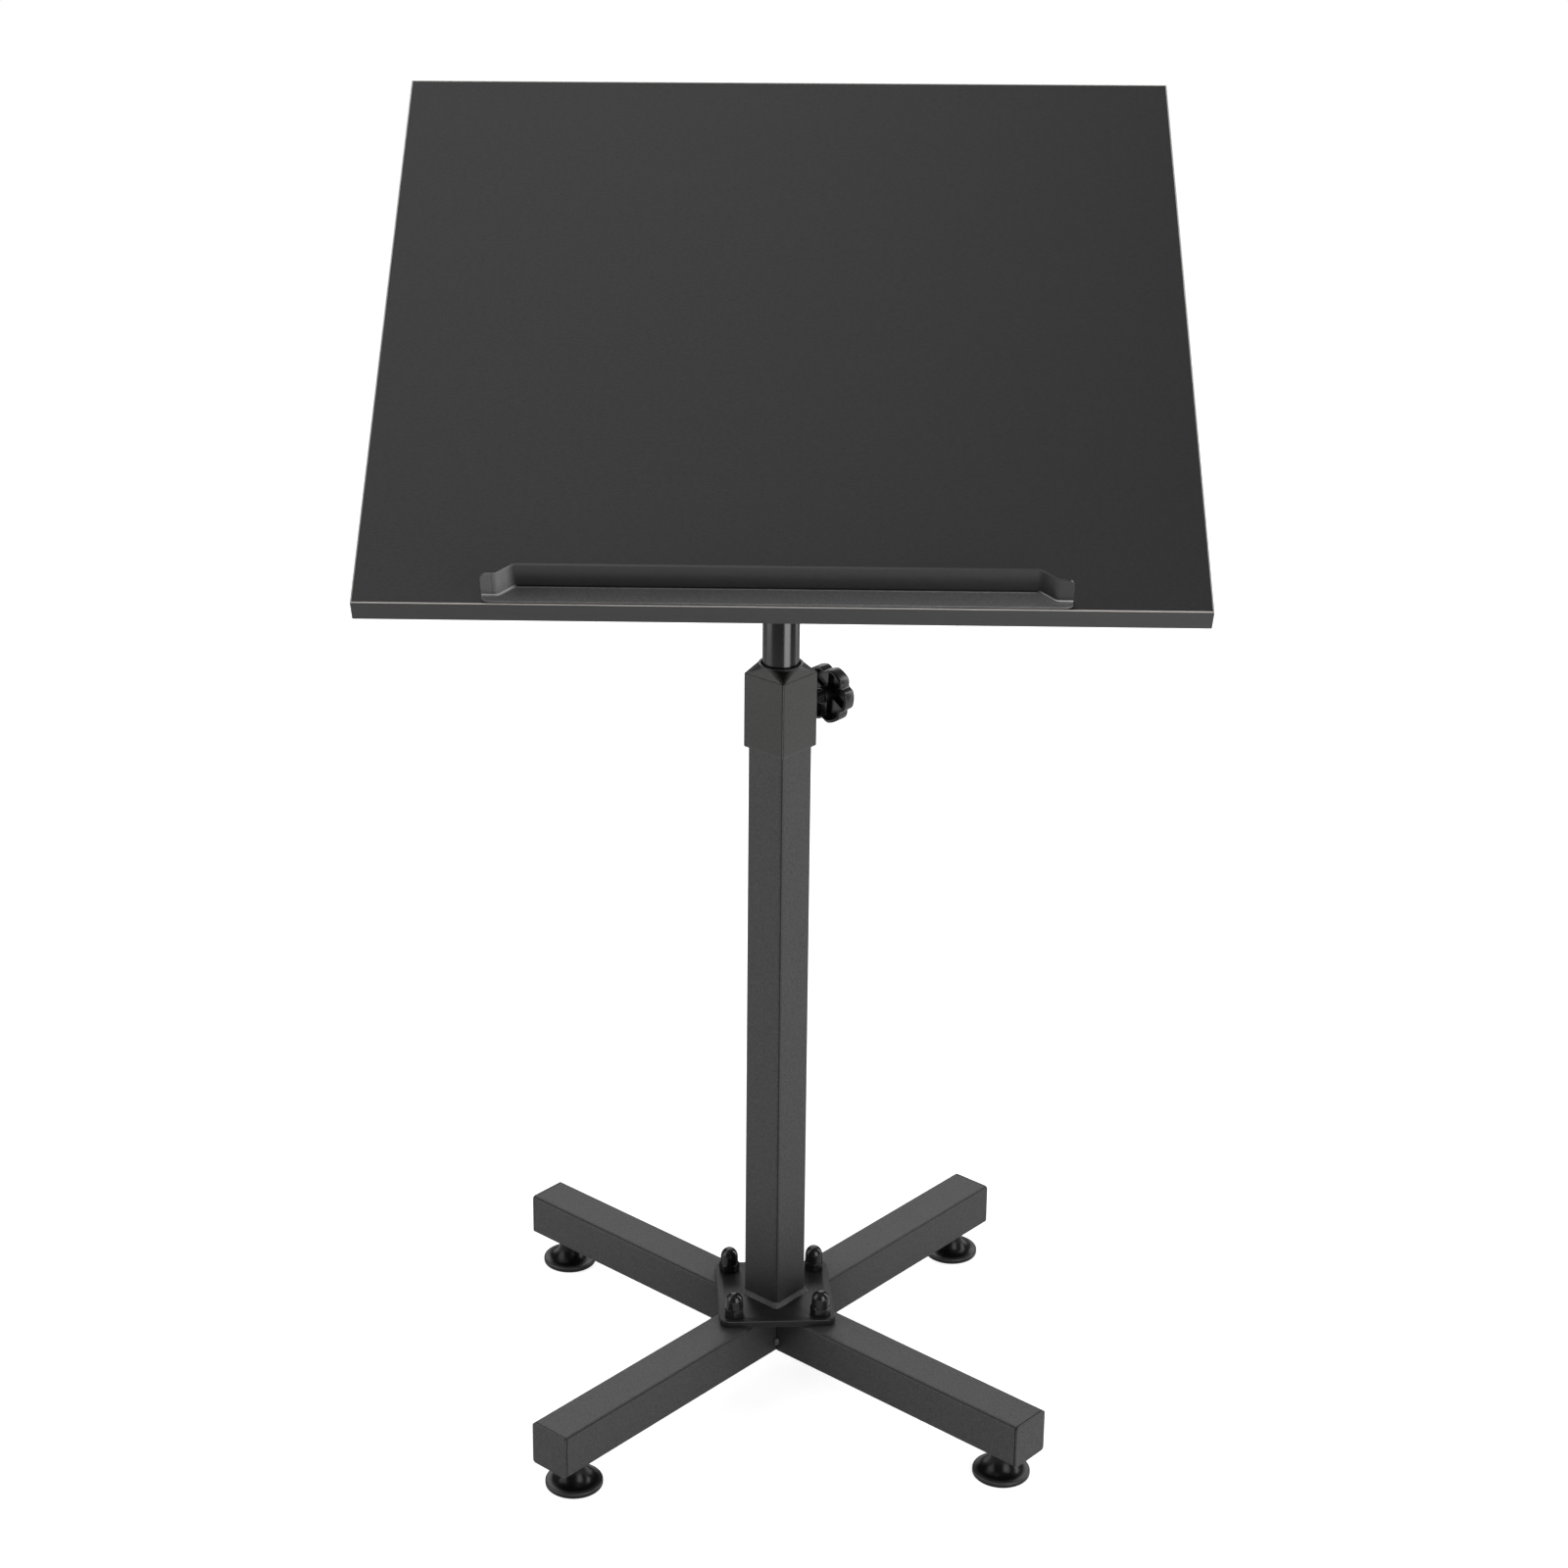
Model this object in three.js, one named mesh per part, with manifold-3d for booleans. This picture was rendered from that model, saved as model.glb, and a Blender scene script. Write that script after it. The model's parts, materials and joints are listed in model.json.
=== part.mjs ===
// Height-adjustable music stand (lectern): a cross base on four levelling glides, a square pole,
// a round mast that slides and swivels in it, and a tilting board with a book stop.
// Millimetres, +Z up, the floor at z = 0, the board's front edge towards -Y.
import * as THREE from 'three';
import { ConvexGeometry } from 'three/addons/geometries/ConvexGeometry.js';
import { mergeVertices } from 'three/addons/utils/BufferGeometryUtils.js';
import Module from 'manifold-3d';

const wasm = await Module();
wasm.setup();

const degrees = THREE.MathUtils.degToRad;

// ---- Driving dimensions -------------------------------------------------------------------

// Clearances
const WELD_GAP = 0.3;       // between two pieces that are welded or screwed together
const RUN_GAP = 0.3;        // round a piece that turns or slides
const PAST = 1;             // how far a cutter runs past a face, or a joined rod into its neighbour

// Square steel tube of the legs and the pole
const TUBE = 31.75;          // 1 1/4 inch
const TUBE_WALL = 1.2;
const TUBE_CORNER = 2.1;    // outer corner radius

// Cross base
const LEG_REACH = 233.3;    // pole axis to the outer end of a leg
const LEG_UNDERSIDE = 21.6; // floor to the legs' undersides
const CAP_THICKNESS = 1.5;  // welded plate that closes a leg
const BASE_TURN = 4.4;      // degrees, the base is turned this far from the board

// Levelling glides
const GLIDE_INSET = 24;     // leg end to the glide's axis
const PAD_RADIUS = 20;
const PAD_RIM = 3.8;        // height of the pad's rim
const PAD_EDGE = 1.2;       // rounding of the rim
const PAD_NECK = 7.4;       // radius of the neck under the leg
const PAD_FLOOR = 5;        // thickness of the pad under its socket
const STUD_RADIUS = 4;      // M8 thread of the glides, the base bolts, the pivot and the knobs
const STUD_LENGTH = 39;
const WELD_NUT_SIDE = 13;
const WELD_NUT_HEIGHT = 6.5;

// Base plate and its bolts
const PLATE_SIDE = 83;
const PLATE_THICKNESS = 5;
const PLATE_CORNER = 7;
const BOLT_INSET = 10.4;    // plate edge to a bolt's axis
const HEX_FLATS = 13;       // spanner size of the bolts and nuts
const HEAD_HEIGHT = 5.3;
const ACORN_HEX = 6.5;      // height of an acorn nut's hexagon
const ACORN_HEIGHT = 18;
const ACORN_DOME = 6;       // radius of its dome
const ACORN_ROOF = 4;       // solid top above the thread
const ACORN_STEPS = 5;      // steps of the dome's arc

// Pole, guide bush and collar
const POLE_LENGTH = 479;
const BUSH_LENGTH = 45;
const BUSH_FLANGE = 1.5;
const COLLAR_SIDE = 36;
const COLLAR_CORNER = 1;
const COLLAR_SLEEVE = 51;   // how far the collar reaches down over the pole
const COLLAR_ROOF = 1.2;    // collar above the bush flange, at its corners
const COLLAR_CONE = 6.4;    // height of the square-to-round cap
const COLLAR_LIP = 0.8;     // straight lip above the cap
const COLLAR_RIM = 15.6;    // radius of the lip
const COLLAR_BORE = 13.7;

// Clamp that holds the mast, on the collar's rear right side
const CLAMP_DROP = 26.5;    // pole top down to the clamp's axis
const CLAMP_PAD = 1.6;      // thickness of the loose brass pad ahead of the screw
const CLAMP_PAD_RADIUS = 3.7;
const CLAMP_REACH = 24;     // collar face to the knob's hub

// Star knobs
const KNOB_RADIUS = 20.5;
const LOCK_KNOB_RADIUS = 17;
const KNOB_LOBES = 6;
const KNOB_LOBE_STEPS = 8;
const KNOB_VALLEY_DEPTH = 3.2;
const KNOB_VALLEY_WIDTH = 0.22; // of the way from one valley's bottom to the next
const KNOB_TURN = 3;        // degrees, the first valley from the knob's +X
const KNOB_BEVEL = 2;
const KNOB_THICKNESS = 10.5;
const KNOB_HUB = 5.8;       // hub radius
const KNOB_HUB_LENGTH = 3;  // how far the hub stands out of the star
const KNOB_WALL = 2.6;      // wall of the hollow star
const KNOB_DISH = 7;        // depth of the hollow
const KNOB_GRIP = 8;        // thread inside the knob

// Mast
const MAST_RADIUS = 12.7;   // 1 inch tube
const MAST_WALL = 1.5;
const MAST_LENGTH = 450;
const MAST_OUT = 173.7;     // mast above the collar's lip, at rest
const PLUG_LENGTH = 20;
const SLIDER_HEIGHT = 22;
const SLIDER_CORNER = 1.6;
const SLIDER_SCREW = 3;     // radius of the slider's screw
const SLIDER_SCREW_GRIP = 14;
const SLIDER_SCREW_HEAD = 6;
const SLIDER_SCREW_HEAD_HEIGHT = 4;

// Tilt head
const HEAD_WIDTH = 20;      // lug, along the pivot
const HEAD_DEPTH = 23;
const HEAD_SPIGOT = 25;     // spigot in the mast
const PIVOT_RISE = 38;      // mast top to the pivot
const LOCK_DROP = 28;       // pivot down to the lock bolt
const CHEEK_THICKNESS = 2.5;
const CHEEK_MARGIN = 9;     // cheek outside the slot's centre line
const CHEEK_REAR = 25;      // how far the cheek's root reaches behind the pivot
const CHEEK_FRONT = 40;     // how far it reaches ahead of it
const CHEEK_PAST_SLOT = 20; // degrees of cheek beyond each end of the slot
const WASHER_RADIUS = 8;
const WASHER_THICKNESS = 1.6;
const NUT_HEIGHT = 6.5;
const BOLT_END = 2.5;       // pivot bolt beyond its nut
const TILT = 31.5;          // degrees, the board's slope at rest
const TILT_STEEP = 60;      // degrees, the steepest slope; the flattest is level

// Bracket under the board
const BRACKET_WIDTH = 116;
const BRACKET_DEPTH = 80;
const BRACKET_THICKNESS = 2.5;
const BRACKET_CORNER = 8;
const PIVOT_DROP = 15;      // board underside to the pivot
const SCREW_INSET_X = 12;
const SCREW_INSET_Y = 12;
const SCREW_RADIUS = 2.3;
const SCREW_BITE = 11;      // screw length in the board
const SCREW_HEAD = 4.4;
const SCREW_HEAD_HEIGHT = 2.6;

// Board
const BOARD_WIDTH = 523;
const BOARD_DEPTH = 468;
const BOARD_THICKNESS = 16;
const BAND_THICKNESS = 1;

// Book stop
const STOP_LENGTH = 358;
const STOP_SHIFT = -2.4;     // middle of the board to the middle of the stop
const STOP_STRAIGHT = 314;  // length of its set-back middle
const STOP_JOG = 14;        // length of each joggle
const STOP_SHEET = 1.5;
const STOP_HEIGHT = 22;
const STOP_SETBACK = 14;    // board edge to the back of the middle stretch
const STOP_WING_SETBACK = 6.4;
const STOP_FOOT_SETBACK = 1.3;
const STOP_CORNER = 5;
const STOP_STUD_RADIUS = 2;
const STOP_STUD_SPREAD = 220;
const STOP_STUD_SETBACK = 6.5;
const STOP_NUT_FLATS = 7;
const STOP_NUT_HEIGHT = 3.2;
const STOP_STUD_END = 1.5;  // stud beyond its nut

// Smoothness
const SIDES = 12;           // sides of a small round piece
const WIDE_SIDES = 24;      // sides of the mast, the pads and the knobs' dishes
const CORNER_STEPS = 3;     // steps of a tube's corner
const ARC_STEPS = 6;        // steps of a larger arc
const MERGE_DISTANCE = 1e-5;

// ---- Levels and places that follow ---------------------------------------------------------

const LEG_TOP = LEG_UNDERSIDE + TUBE;
const PLATE_TOP = LEG_TOP + PLATE_THICKNESS;
const POLE_TOP = PLATE_TOP + POLE_LENGTH;
const COLLAR_SHOULDER = POLE_TOP + BUSH_FLANGE + COLLAR_ROOF;
const COLLAR_RIM_TOP = COLLAR_SHOULDER + COLLAR_CONE + COLLAR_LIP;
const CLAMP_HEIGHT = POLE_TOP - CLAMP_DROP;
const MAST_TOP = COLLAR_RIM_TOP + MAST_OUT;
const MAST_BOTTOM = MAST_TOP - MAST_LENGTH;
const PIVOT_HEIGHT = MAST_TOP + PIVOT_RISE;
const LOCK_HEIGHT = PIVOT_HEIGHT - LOCK_DROP;
const GLIDE_RADIUS = LEG_REACH - GLIDE_INSET;
const BOLT_RADIUS = (PLATE_SIDE / 2 - BOLT_INSET) * Math.SQRT2;
const TUBE_END = LEG_REACH - CAP_THICKNESS - WELD_GAP;
const TUBE_BORE = TUBE - 2 * TUBE_WALL;
const TUBE_BORE_CORNER = TUBE_CORNER - TUBE_WALL;
const HOLE_RADIUS = STUD_RADIUS + RUN_GAP;
const MAST_BORE = MAST_RADIUS - MAST_WALL;
const CHEEK_INSIDE = HEAD_WIDTH / 2 + RUN_GAP;
const CHEEK_OUTSIDE = CHEEK_INSIDE + CHEEK_THICKNESS;

// ---- Materials -----------------------------------------------------------------------------

function finish(color, roughness, metalness) {
  return new THREE.MeshStandardMaterial({ color, roughness, metalness });
}

const powderCoat = finish(0x3b3b3d, 0.55, 0.2);
const glossPaint = finish(0x1f1f21, 0.25, 0.2);
const satinBlack = finish(0x242426, 0.35, 0.4);
const mouldedPlastic = finish(0x3a3735, 0.45, 0);
const glossPlastic = finish(0x161617, 0.2, 0);
const guidePlastic = finish(0xd8d6cf, 0.5, 0);
const zincSteel = finish(0xa9adb0, 0.35, 0.9);
const blackSteel = finish(0x1c1c1d, 0.4, 0.8);
const brass = finish(0xb9994e, 0.35, 0.9);
const laminate = finish(0x2b2b2d, 0.5, 0);
const edgeBand = finish(0x434345, 0.5, 0);

// ---- Solids --------------------------------------------------------------------------------

/** A closed geometry as a solid that can be joined and cut. */
function toSolid(geometry) {
  const bare = geometry.clone();
  bare.deleteAttribute('normal');
  bare.deleteAttribute('uv');
  const merged = mergeVertices(bare, MERGE_DISTANCE);
  const corners = merged.index.array;
  const kept = [];
  for (let i = 0; i < corners.length; i += 3) {
    const [a, b, c] = [corners[i], corners[i + 1], corners[i + 2]];
    if (a !== b && b !== c && c !== a) kept.push(a, b, c);
  }
  const vertProperties = new Float32Array(merged.attributes.position.array);
  return new wasm.Manifold(new wasm.Mesh({ numProp: 3, vertProperties, triVerts: new Uint32Array(kept) }));
}

/** A solid as a flat-shaded geometry. */
function toGeometry(solid) {
  const { vertProperties, triVerts } = solid.getMesh();
  const indexed = new THREE.BufferGeometry();
  indexed.setAttribute('position', new THREE.BufferAttribute(vertProperties, 3));
  indexed.setIndex(new THREE.BufferAttribute(triVerts, 1));
  const geometry = indexed.toNonIndexed();
  geometry.computeVertexNormals();
  return geometry;
}

/** The first geometry with the others joined to it. */
function join(first, ...others) {
  return toGeometry(others.reduce((solid, other) => solid.add(toSolid(other)), toSolid(first)));
}

/** The first geometry with the others taken out of it. */
function cut(first, ...tools) {
  return toGeometry(tools.reduce((solid, tool) => solid.subtract(toSolid(tool)), toSolid(first)));
}

/** A rectangle with round corners, centred on the origin. */
function roundedRect(width, depth, radius) {
  const x = width / 2 - radius;
  const y = depth / 2 - radius;
  const shape = new THREE.Shape();
  shape.absarc(x, -y, radius, -Math.PI / 2, 0);
  shape.absarc(x, y, radius, 0, Math.PI / 2);
  shape.absarc(-x, y, radius, Math.PI / 2, Math.PI);
  shape.absarc(-x, -y, radius, Math.PI, 1.5 * Math.PI);
  return shape;
}

/** A plain rectangle between two corners. */
function rect(left, front, right, back) {
  const corners = [[left, front], [right, front], [right, back], [left, back]];
  return new THREE.Shape(corners.map(([x, y]) => new THREE.Vector2(x, y)));
}

/** A shape carried up along Z from one level to another. */
function prism(shape, low, high, curveSegments = CORNER_STEPS) {
  const depth = high - low;
  return new THREE.ExtrudeGeometry(shape, { depth, bevelEnabled: false, curveSegments }).translate(0, 0, low);
}

/** A round rod along Z. */
function rod(radius, low, high, sides = SIDES) {
  const geometry = new THREE.CylinderGeometry(radius, radius, high - low, sides);
  return geometry.rotateX(Math.PI / 2).translate(0, 0, (low + high) / 2);
}

/** A hexagonal rod along Z, by its width across the flats. */
function hexRod(flats, low, high) {
  return rod(flats / Math.sqrt(3), low, high, 6);
}

/** A profile of [radius, height] points turned about Z. */
function turned(points, sides = WIDE_SIDES) {
  const profile = points.map(([radius, height]) => new THREE.Vector2(radius, height));
  return new THREE.LatheGeometry(profile, sides).rotateX(Math.PI / 2);
}

/** Lays what was made along Z out along X. */
const alongX = (geometry) => geometry.rotateY(Math.PI / 2);

/** Stands a shape that was drawn as (y, z) upright, with its thickness along X. */
const uprightAcrossX = (geometry) => geometry.rotateX(Math.PI / 2).rotateZ(Math.PI / 2);

/** The square tube's section, with its bore. */
function tubeSection() {
  const section = roundedRect(TUBE, TUBE, TUBE_CORNER);
  section.holes.push(roundedRect(TUBE_BORE, TUBE_BORE, TUBE_BORE_CORNER));
  return section;
}

/** A named mesh at a place in its group. */
function piece(name, geometry, material, x = 0, y = 0, z = 0) {
  const mesh = new THREE.Mesh(geometry, material);
  mesh.name = name;
  mesh.position.set(x, y, z);
  return mesh;
}

// ---- Base: legs, glides, plate -------------------------------------------------------------

/** A leg tube along X between two ends, drilled for its bolts and glides. */
function legTube(start, end) {
  const tube = alongX(prism(tubeSection(), start, end)).translate(0, 0, LEG_UNDERSIDE + TUBE / 2);
  const drills = [];
  for (const side of [-1, 1]) {
    if (side * BOLT_RADIUS < start || side * BOLT_RADIUS > end) continue;
    const bolt = rod(HOLE_RADIUS, LEG_UNDERSIDE - TUBE_WALL, LEG_TOP + TUBE_WALL);
    const glide = rod(HOLE_RADIUS, LEG_UNDERSIDE - TUBE_WALL, LEG_UNDERSIDE + TUBE / 2);
    drills.push(bolt.translate(side * BOLT_RADIUS, 0, 0), glide.translate(side * GLIDE_RADIUS, 0, 0));
  }
  return cut(tube, ...drills);
}

/** The plate that closes the end of a leg that runs along X. */
function legCap() {
  const plate = prism(roundedRect(TUBE, TUBE, TUBE_CORNER), LEG_REACH - CAP_THICKNESS, LEG_REACH);
  return alongX(plate).translate(0, 0, LEG_UNDERSIDE + TUBE / 2);
}

/** A mushroom pad with a socket for its stud: a round-edged rim, and a hollow flank up to its neck. */
function glidePad() {
  const top = LEG_UNDERSIDE - RUN_GAP;
  const edge = PAD_RADIUS - PAD_EDGE;
  const profile = new THREE.Path();
  profile.moveTo(0, 0);
  profile.lineTo(edge, 0);
  profile.absarc(edge, PAD_EDGE, PAD_EDGE, -Math.PI / 2, 0);
  profile.absarc(edge, PAD_RIM - PAD_EDGE, PAD_EDGE, 0, Math.PI / 2);
  profile.quadraticCurveTo(PAD_NECK, PAD_RIM, PAD_NECK, top);
  profile.lineTo(HOLE_RADIUS, top);
  profile.lineTo(HOLE_RADIUS, PAD_FLOOR);
  profile.lineTo(0, PAD_FLOOR);
  return turned(profile.getPoints(CORNER_STEPS).map((point) => [point.x, point.y]));
}

/** The square nut welded inside a leg, over the glide's hole. */
function weldNut() {
  const low = LEG_UNDERSIDE + TUBE_WALL;
  const section = rect(-WELD_NUT_SIDE / 2, -WELD_NUT_SIDE / 2, WELD_NUT_SIDE / 2, WELD_NUT_SIDE / 2);
  const hole = rod(HOLE_RADIUS, low - PAST, low + WELD_NUT_HEIGHT + PAST);
  return cut(prism(section, low, low + WELD_NUT_HEIGHT), hole);
}

/** A hexagon bolt that comes up through a leg and the plate. */
function baseBolt() {
  const tip = PLATE_TOP + ACORN_HEIGHT - ACORN_ROOF - WELD_GAP;
  const shank = rod(STUD_RADIUS, LEG_UNDERSIDE - PAST, tip);
  return join(hexRod(HEX_FLATS, LEG_UNDERSIDE - HEAD_HEIGHT, LEG_UNDERSIDE), shank);
}

/** A tall domed nut. */
function acornNut() {
  const shoulder = PLATE_TOP + ACORN_HEIGHT - ACORN_DOME;
  const root = PLATE_TOP + ACORN_HEX - PAST;
  const dome = [[0, root], [ACORN_DOME, root]];
  for (let step = 0; step < ACORN_STEPS; step += 1) {
    const angle = step / ACORN_STEPS * Math.PI / 2;
    dome.push([ACORN_DOME * Math.cos(angle), shoulder + ACORN_DOME * Math.sin(angle)]);
  }
  dome.push([0, shoulder + ACORN_DOME]);
  const body = join(hexRod(HEX_FLATS, PLATE_TOP, PLATE_TOP + ACORN_HEX), turned(dome, SIDES));
  return cut(body, rod(HOLE_RADIUS, PLATE_TOP - PAST, PLATE_TOP + ACORN_HEIGHT - ACORN_ROOF));
}

/** The plate that joins the pole to the cross, turned so that its corners lie over the legs. */
function basePlate() {
  const shape = roundedRect(PLATE_SIDE, PLATE_SIDE, PLATE_CORNER);
  const plate = prism(shape, LEG_TOP, PLATE_TOP, ARC_STEPS).rotateZ(Math.PI / 4);
  const holes = [0, 1, 2, 3].map((quarter) => rod(HOLE_RADIUS, LEG_TOP - PAST, PLATE_TOP + PAST)
    .translate(BOLT_RADIUS, 0, 0).rotateZ(quarter * Math.PI / 2));
  return cut(plate, ...holes);
}

/** The cross base. Its +X runs along the rear right leg. */
function buildBase() {
  const base = new THREE.Group();
  base.add(piece('base_through_tube', legTube(-TUBE_END, TUBE_END), powderCoat));
  const halfTube = legTube(TUBE / 2 + WELD_GAP, TUBE_END);
  const halfTubes = { base_rear_left_tube: Math.PI / 2, base_front_right_tube: -Math.PI / 2 };
  for (const [name, angle] of Object.entries(halfTubes)) {
    const tube = piece(name, halfTube, powderCoat);
    tube.rotation.z = angle;
    base.add(tube);
  }
  base.add(piece('base_plate', basePlate(), glossPaint));
  ['rear_right', 'rear_left', 'front_left', 'front_right'].forEach((corner, quarter) => {
    const leg = new THREE.Group();
    leg.rotation.z = quarter * Math.PI / 2;
    leg.add(
      piece(`leg_cap_${corner}`, legCap(), powderCoat),
      piece(`glide_nut_${corner}`, weldNut(), zincSteel, GLIDE_RADIUS),
      piece(`glide_pad_${corner}`, glidePad(), glossPlastic, GLIDE_RADIUS),
      piece(`glide_stud_${corner}`, rod(STUD_RADIUS, 0, STUD_LENGTH), zincSteel, GLIDE_RADIUS, 0,
        PAD_FLOOR + RUN_GAP),
      piece(`base_bolt_${corner}`, baseBolt(), zincSteel, BOLT_RADIUS),
      piece(`acorn_nut_${corner}`, acornNut(), glossPaint, BOLT_RADIUS),
    );
    base.add(leg);
  });
  return base;
}

// ---- Pole, bush, collar and clamp ----------------------------------------------------------

/** A drill along +X at the clamp's height. */
const clampDrill = () => alongX(rod(HOLE_RADIUS, 0, COLLAR_SIDE)).translate(0, 0, CLAMP_HEIGHT);

/** The square pole, with the clamp's tapped hole in one wall. */
function pole() {
  return cut(prism(tubeSection(), PLATE_TOP, POLE_TOP), clampDrill());
}

/** The square bush in the pole's top that guides the round mast, hung by its flange. */
function guideBush() {
  const side = TUBE_BORE - 2 * WELD_GAP;
  const low = POLE_TOP - BUSH_LENGTH;
  const high = POLE_TOP + BUSH_FLANGE;
  const body = prism(roundedRect(side, side, TUBE_BORE_CORNER), low, high);
  const flange = prism(roundedRect(TUBE, TUBE, TUBE_CORNER), POLE_TOP, high);
  const bore = rod(MAST_RADIUS + RUN_GAP, low - PAST, high + PAST, WIDE_SIDES);
  return cut(join(body, flange), bore, clampDrill());
}

/** The collar: a square sleeve over the pole whose cap runs from square to round. */
function collar() {
  const low = POLE_TOP - COLLAR_SLEEVE;
  const coneTop = COLLAR_SHOULDER + COLLAR_CONE;
  const outline = roundedRect(COLLAR_SIDE, COLLAR_SIDE, COLLAR_CORNER).getPoints(CORNER_STEPS);
  const circle = new THREE.Path().absarc(0, 0, COLLAR_RIM, 0, 2 * Math.PI).getPoints(WIDE_SIDES);
  const at = (points, z) => points.map((point) => new THREE.Vector3(point.x, point.y, z));
  const hull = [...at(outline, low), ...at(outline, COLLAR_SHOULDER), ...at(circle.slice(1), coneTop)];
  const lip = rod(COLLAR_RIM, coneTop - PAST, COLLAR_RIM_TOP, WIDE_SIDES);
  const sleeve = TUBE + 2 * WELD_GAP;
  const roof = POLE_TOP + BUSH_FLANGE + WELD_GAP;
  const hollow = prism(roundedRect(sleeve, sleeve, TUBE_CORNER), low - PAST, roof);
  const bore = rod(COLLAR_BORE, POLE_TOP, COLLAR_RIM_TOP + PAST, WIDE_SIDES);
  return cut(join(new ConvexGeometry(hull), lip), hollow, bore, clampDrill());
}

/** A hollow star knob along Z: its hub faces -Z and starts at z = 0. */
function starKnob(radius) {
  const outline = [];
  const steps = KNOB_LOBES * KNOB_LOBE_STEPS;
  for (let step = 0; step < steps; step += 1) {
    const angle = step / steps * 2 * Math.PI + degrees(KNOB_TURN);
    const nearest = Math.round(step / KNOB_LOBE_STEPS) - step / KNOB_LOBE_STEPS;
    const valley = Math.exp(-((nearest / KNOB_VALLEY_WIDTH) ** 2));
    const reach = radius - KNOB_BEVEL - KNOB_VALLEY_DEPTH * valley;
    outline.push(new THREE.Vector2(reach * Math.cos(angle), reach * Math.sin(angle)));
  }
  const star = new THREE.ExtrudeGeometry(new THREE.Shape(outline), {
    depth: KNOB_THICKNESS - 2 * KNOB_BEVEL,
    bevelSize: KNOB_BEVEL,
    bevelThickness: KNOB_BEVEL,
    bevelSegments: 2,
  }).translate(0, 0, KNOB_HUB_LENGTH + KNOB_BEVEL);
  const dishRadius = radius - KNOB_VALLEY_DEPTH - KNOB_WALL;
  const dishFloor = KNOB_HUB_LENGTH + KNOB_DISH;
  const dish = rod(dishRadius, KNOB_HUB_LENGTH - PAST, dishFloor, WIDE_SIDES);
  const hub = rod(KNOB_HUB, 0, dishFloor + PAST, WIDE_SIDES);
  return cut(join(cut(star, dish), hub), rod(STUD_RADIUS + WELD_GAP, -PAST, KNOB_GRIP + WELD_GAP));
}

/** The pole with what is fixed to its top, and the clamp. It shares the base's +X. */
function buildPole() {
  const group = new THREE.Group();
  const padStart = MAST_RADIUS + RUN_GAP;
  const screwStart = padStart + CLAMP_PAD + RUN_GAP;
  const hubStart = COLLAR_SIDE / 2 + CLAMP_REACH;
  const clamp = new THREE.Group();
  clamp.position.z = CLAMP_HEIGHT;
  clamp.add(
    piece('clamp_pad', alongX(rod(CLAMP_PAD_RADIUS, padStart, padStart + CLAMP_PAD)), brass),
    piece('clamp_screw', alongX(rod(STUD_RADIUS, screwStart, hubStart + KNOB_GRIP)), blackSteel),
    piece('clamp_knob', alongX(starKnob(KNOB_RADIUS)), glossPlastic, hubStart),
  );
  group.add(
    piece('pole', pole(), powderCoat),
    piece('guide_bush', guideBush(), guidePlastic),
    piece('collar', collar(), mouldedPlastic),
    clamp,
  );
  return group;
}

// ---- Mast ----------------------------------------------------------------------------------

/** The round mast tube. */
function mast() {
  const section = new THREE.Shape().absarc(0, 0, MAST_RADIUS, 0, 2 * Math.PI);
  section.holes.push(new THREE.Path().absarc(0, 0, MAST_BORE, 0, 2 * Math.PI));
  return prism(section, MAST_BOTTOM, MAST_TOP, WIDE_SIDES);
}

/** The plug in the mast's foot that takes the slider's screw. */
function mastPlug() {
  const plug = rod(MAST_BORE - WELD_GAP, MAST_BOTTOM, MAST_BOTTOM + PLUG_LENGTH, WIDE_SIDES);
  const threadEnd = MAST_BOTTOM + SLIDER_SCREW_GRIP + WELD_GAP;
  return cut(plug, rod(SLIDER_SCREW + WELD_GAP, MAST_BOTTOM - PAST, threadEnd));
}

/** The square slider under the mast, which keeps it centred in the pole and doesn't turn. */
function mastSlider() {
  const side = TUBE_BORE - 2 * RUN_GAP;
  const top = MAST_BOTTOM - RUN_GAP;
  const block = prism(roundedRect(side, side, SLIDER_CORNER), top - SLIDER_HEIGHT, top);
  return cut(block, rod(SLIDER_SCREW + RUN_GAP, top - SLIDER_HEIGHT - PAST, top + PAST));
}

/** The screw that hangs the slider under the mast and lets the mast turn on it. */
function sliderScrew() {
  const under = MAST_BOTTOM - 2 * RUN_GAP - SLIDER_HEIGHT;
  const head = rod(SLIDER_SCREW_HEAD, under - SLIDER_SCREW_HEAD_HEIGHT, under);
  return join(head, rod(SLIDER_SCREW, under - PAST, MAST_BOTTOM + SLIDER_SCREW_GRIP));
}

/** The lug on the mast's top: a spigot in the mast, and a round-topped block with two cross holes. */
function mastHead() {
  const half = HEAD_DEPTH / 2;
  const side = new THREE.Shape();
  side.moveTo(-half, MAST_TOP);
  side.lineTo(half, MAST_TOP);
  side.absarc(0, PIVOT_HEIGHT, half, 0, Math.PI);
  const lug = uprightAcrossX(prism(side, -HEAD_WIDTH / 2, HEAD_WIDTH / 2, ARC_STEPS));
  const spigot = rod(MAST_BORE - WELD_GAP, MAST_TOP - HEAD_SPIGOT, MAST_TOP + PAST, WIDE_SIDES);
  const hole = alongX(rod(HOLE_RADIUS, -HEAD_WIDTH, HEAD_WIDTH));
  const holes = [PIVOT_HEIGHT, LOCK_HEIGHT].map((height) => hole.clone().translate(0, 0, height));
  return cut(join(lug, spigot), ...holes);
}

/** A hexagon bolt along X whose head lies outside the left cheek, up to a given end. */
function crossBolt(end) {
  const seat = -CHEEK_OUTSIDE - RUN_GAP;
  return alongX(join(hexRod(HEX_FLATS, seat - HEAD_HEIGHT, seat), rod(STUD_RADIUS, seat - PAST, end)));
}

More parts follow.
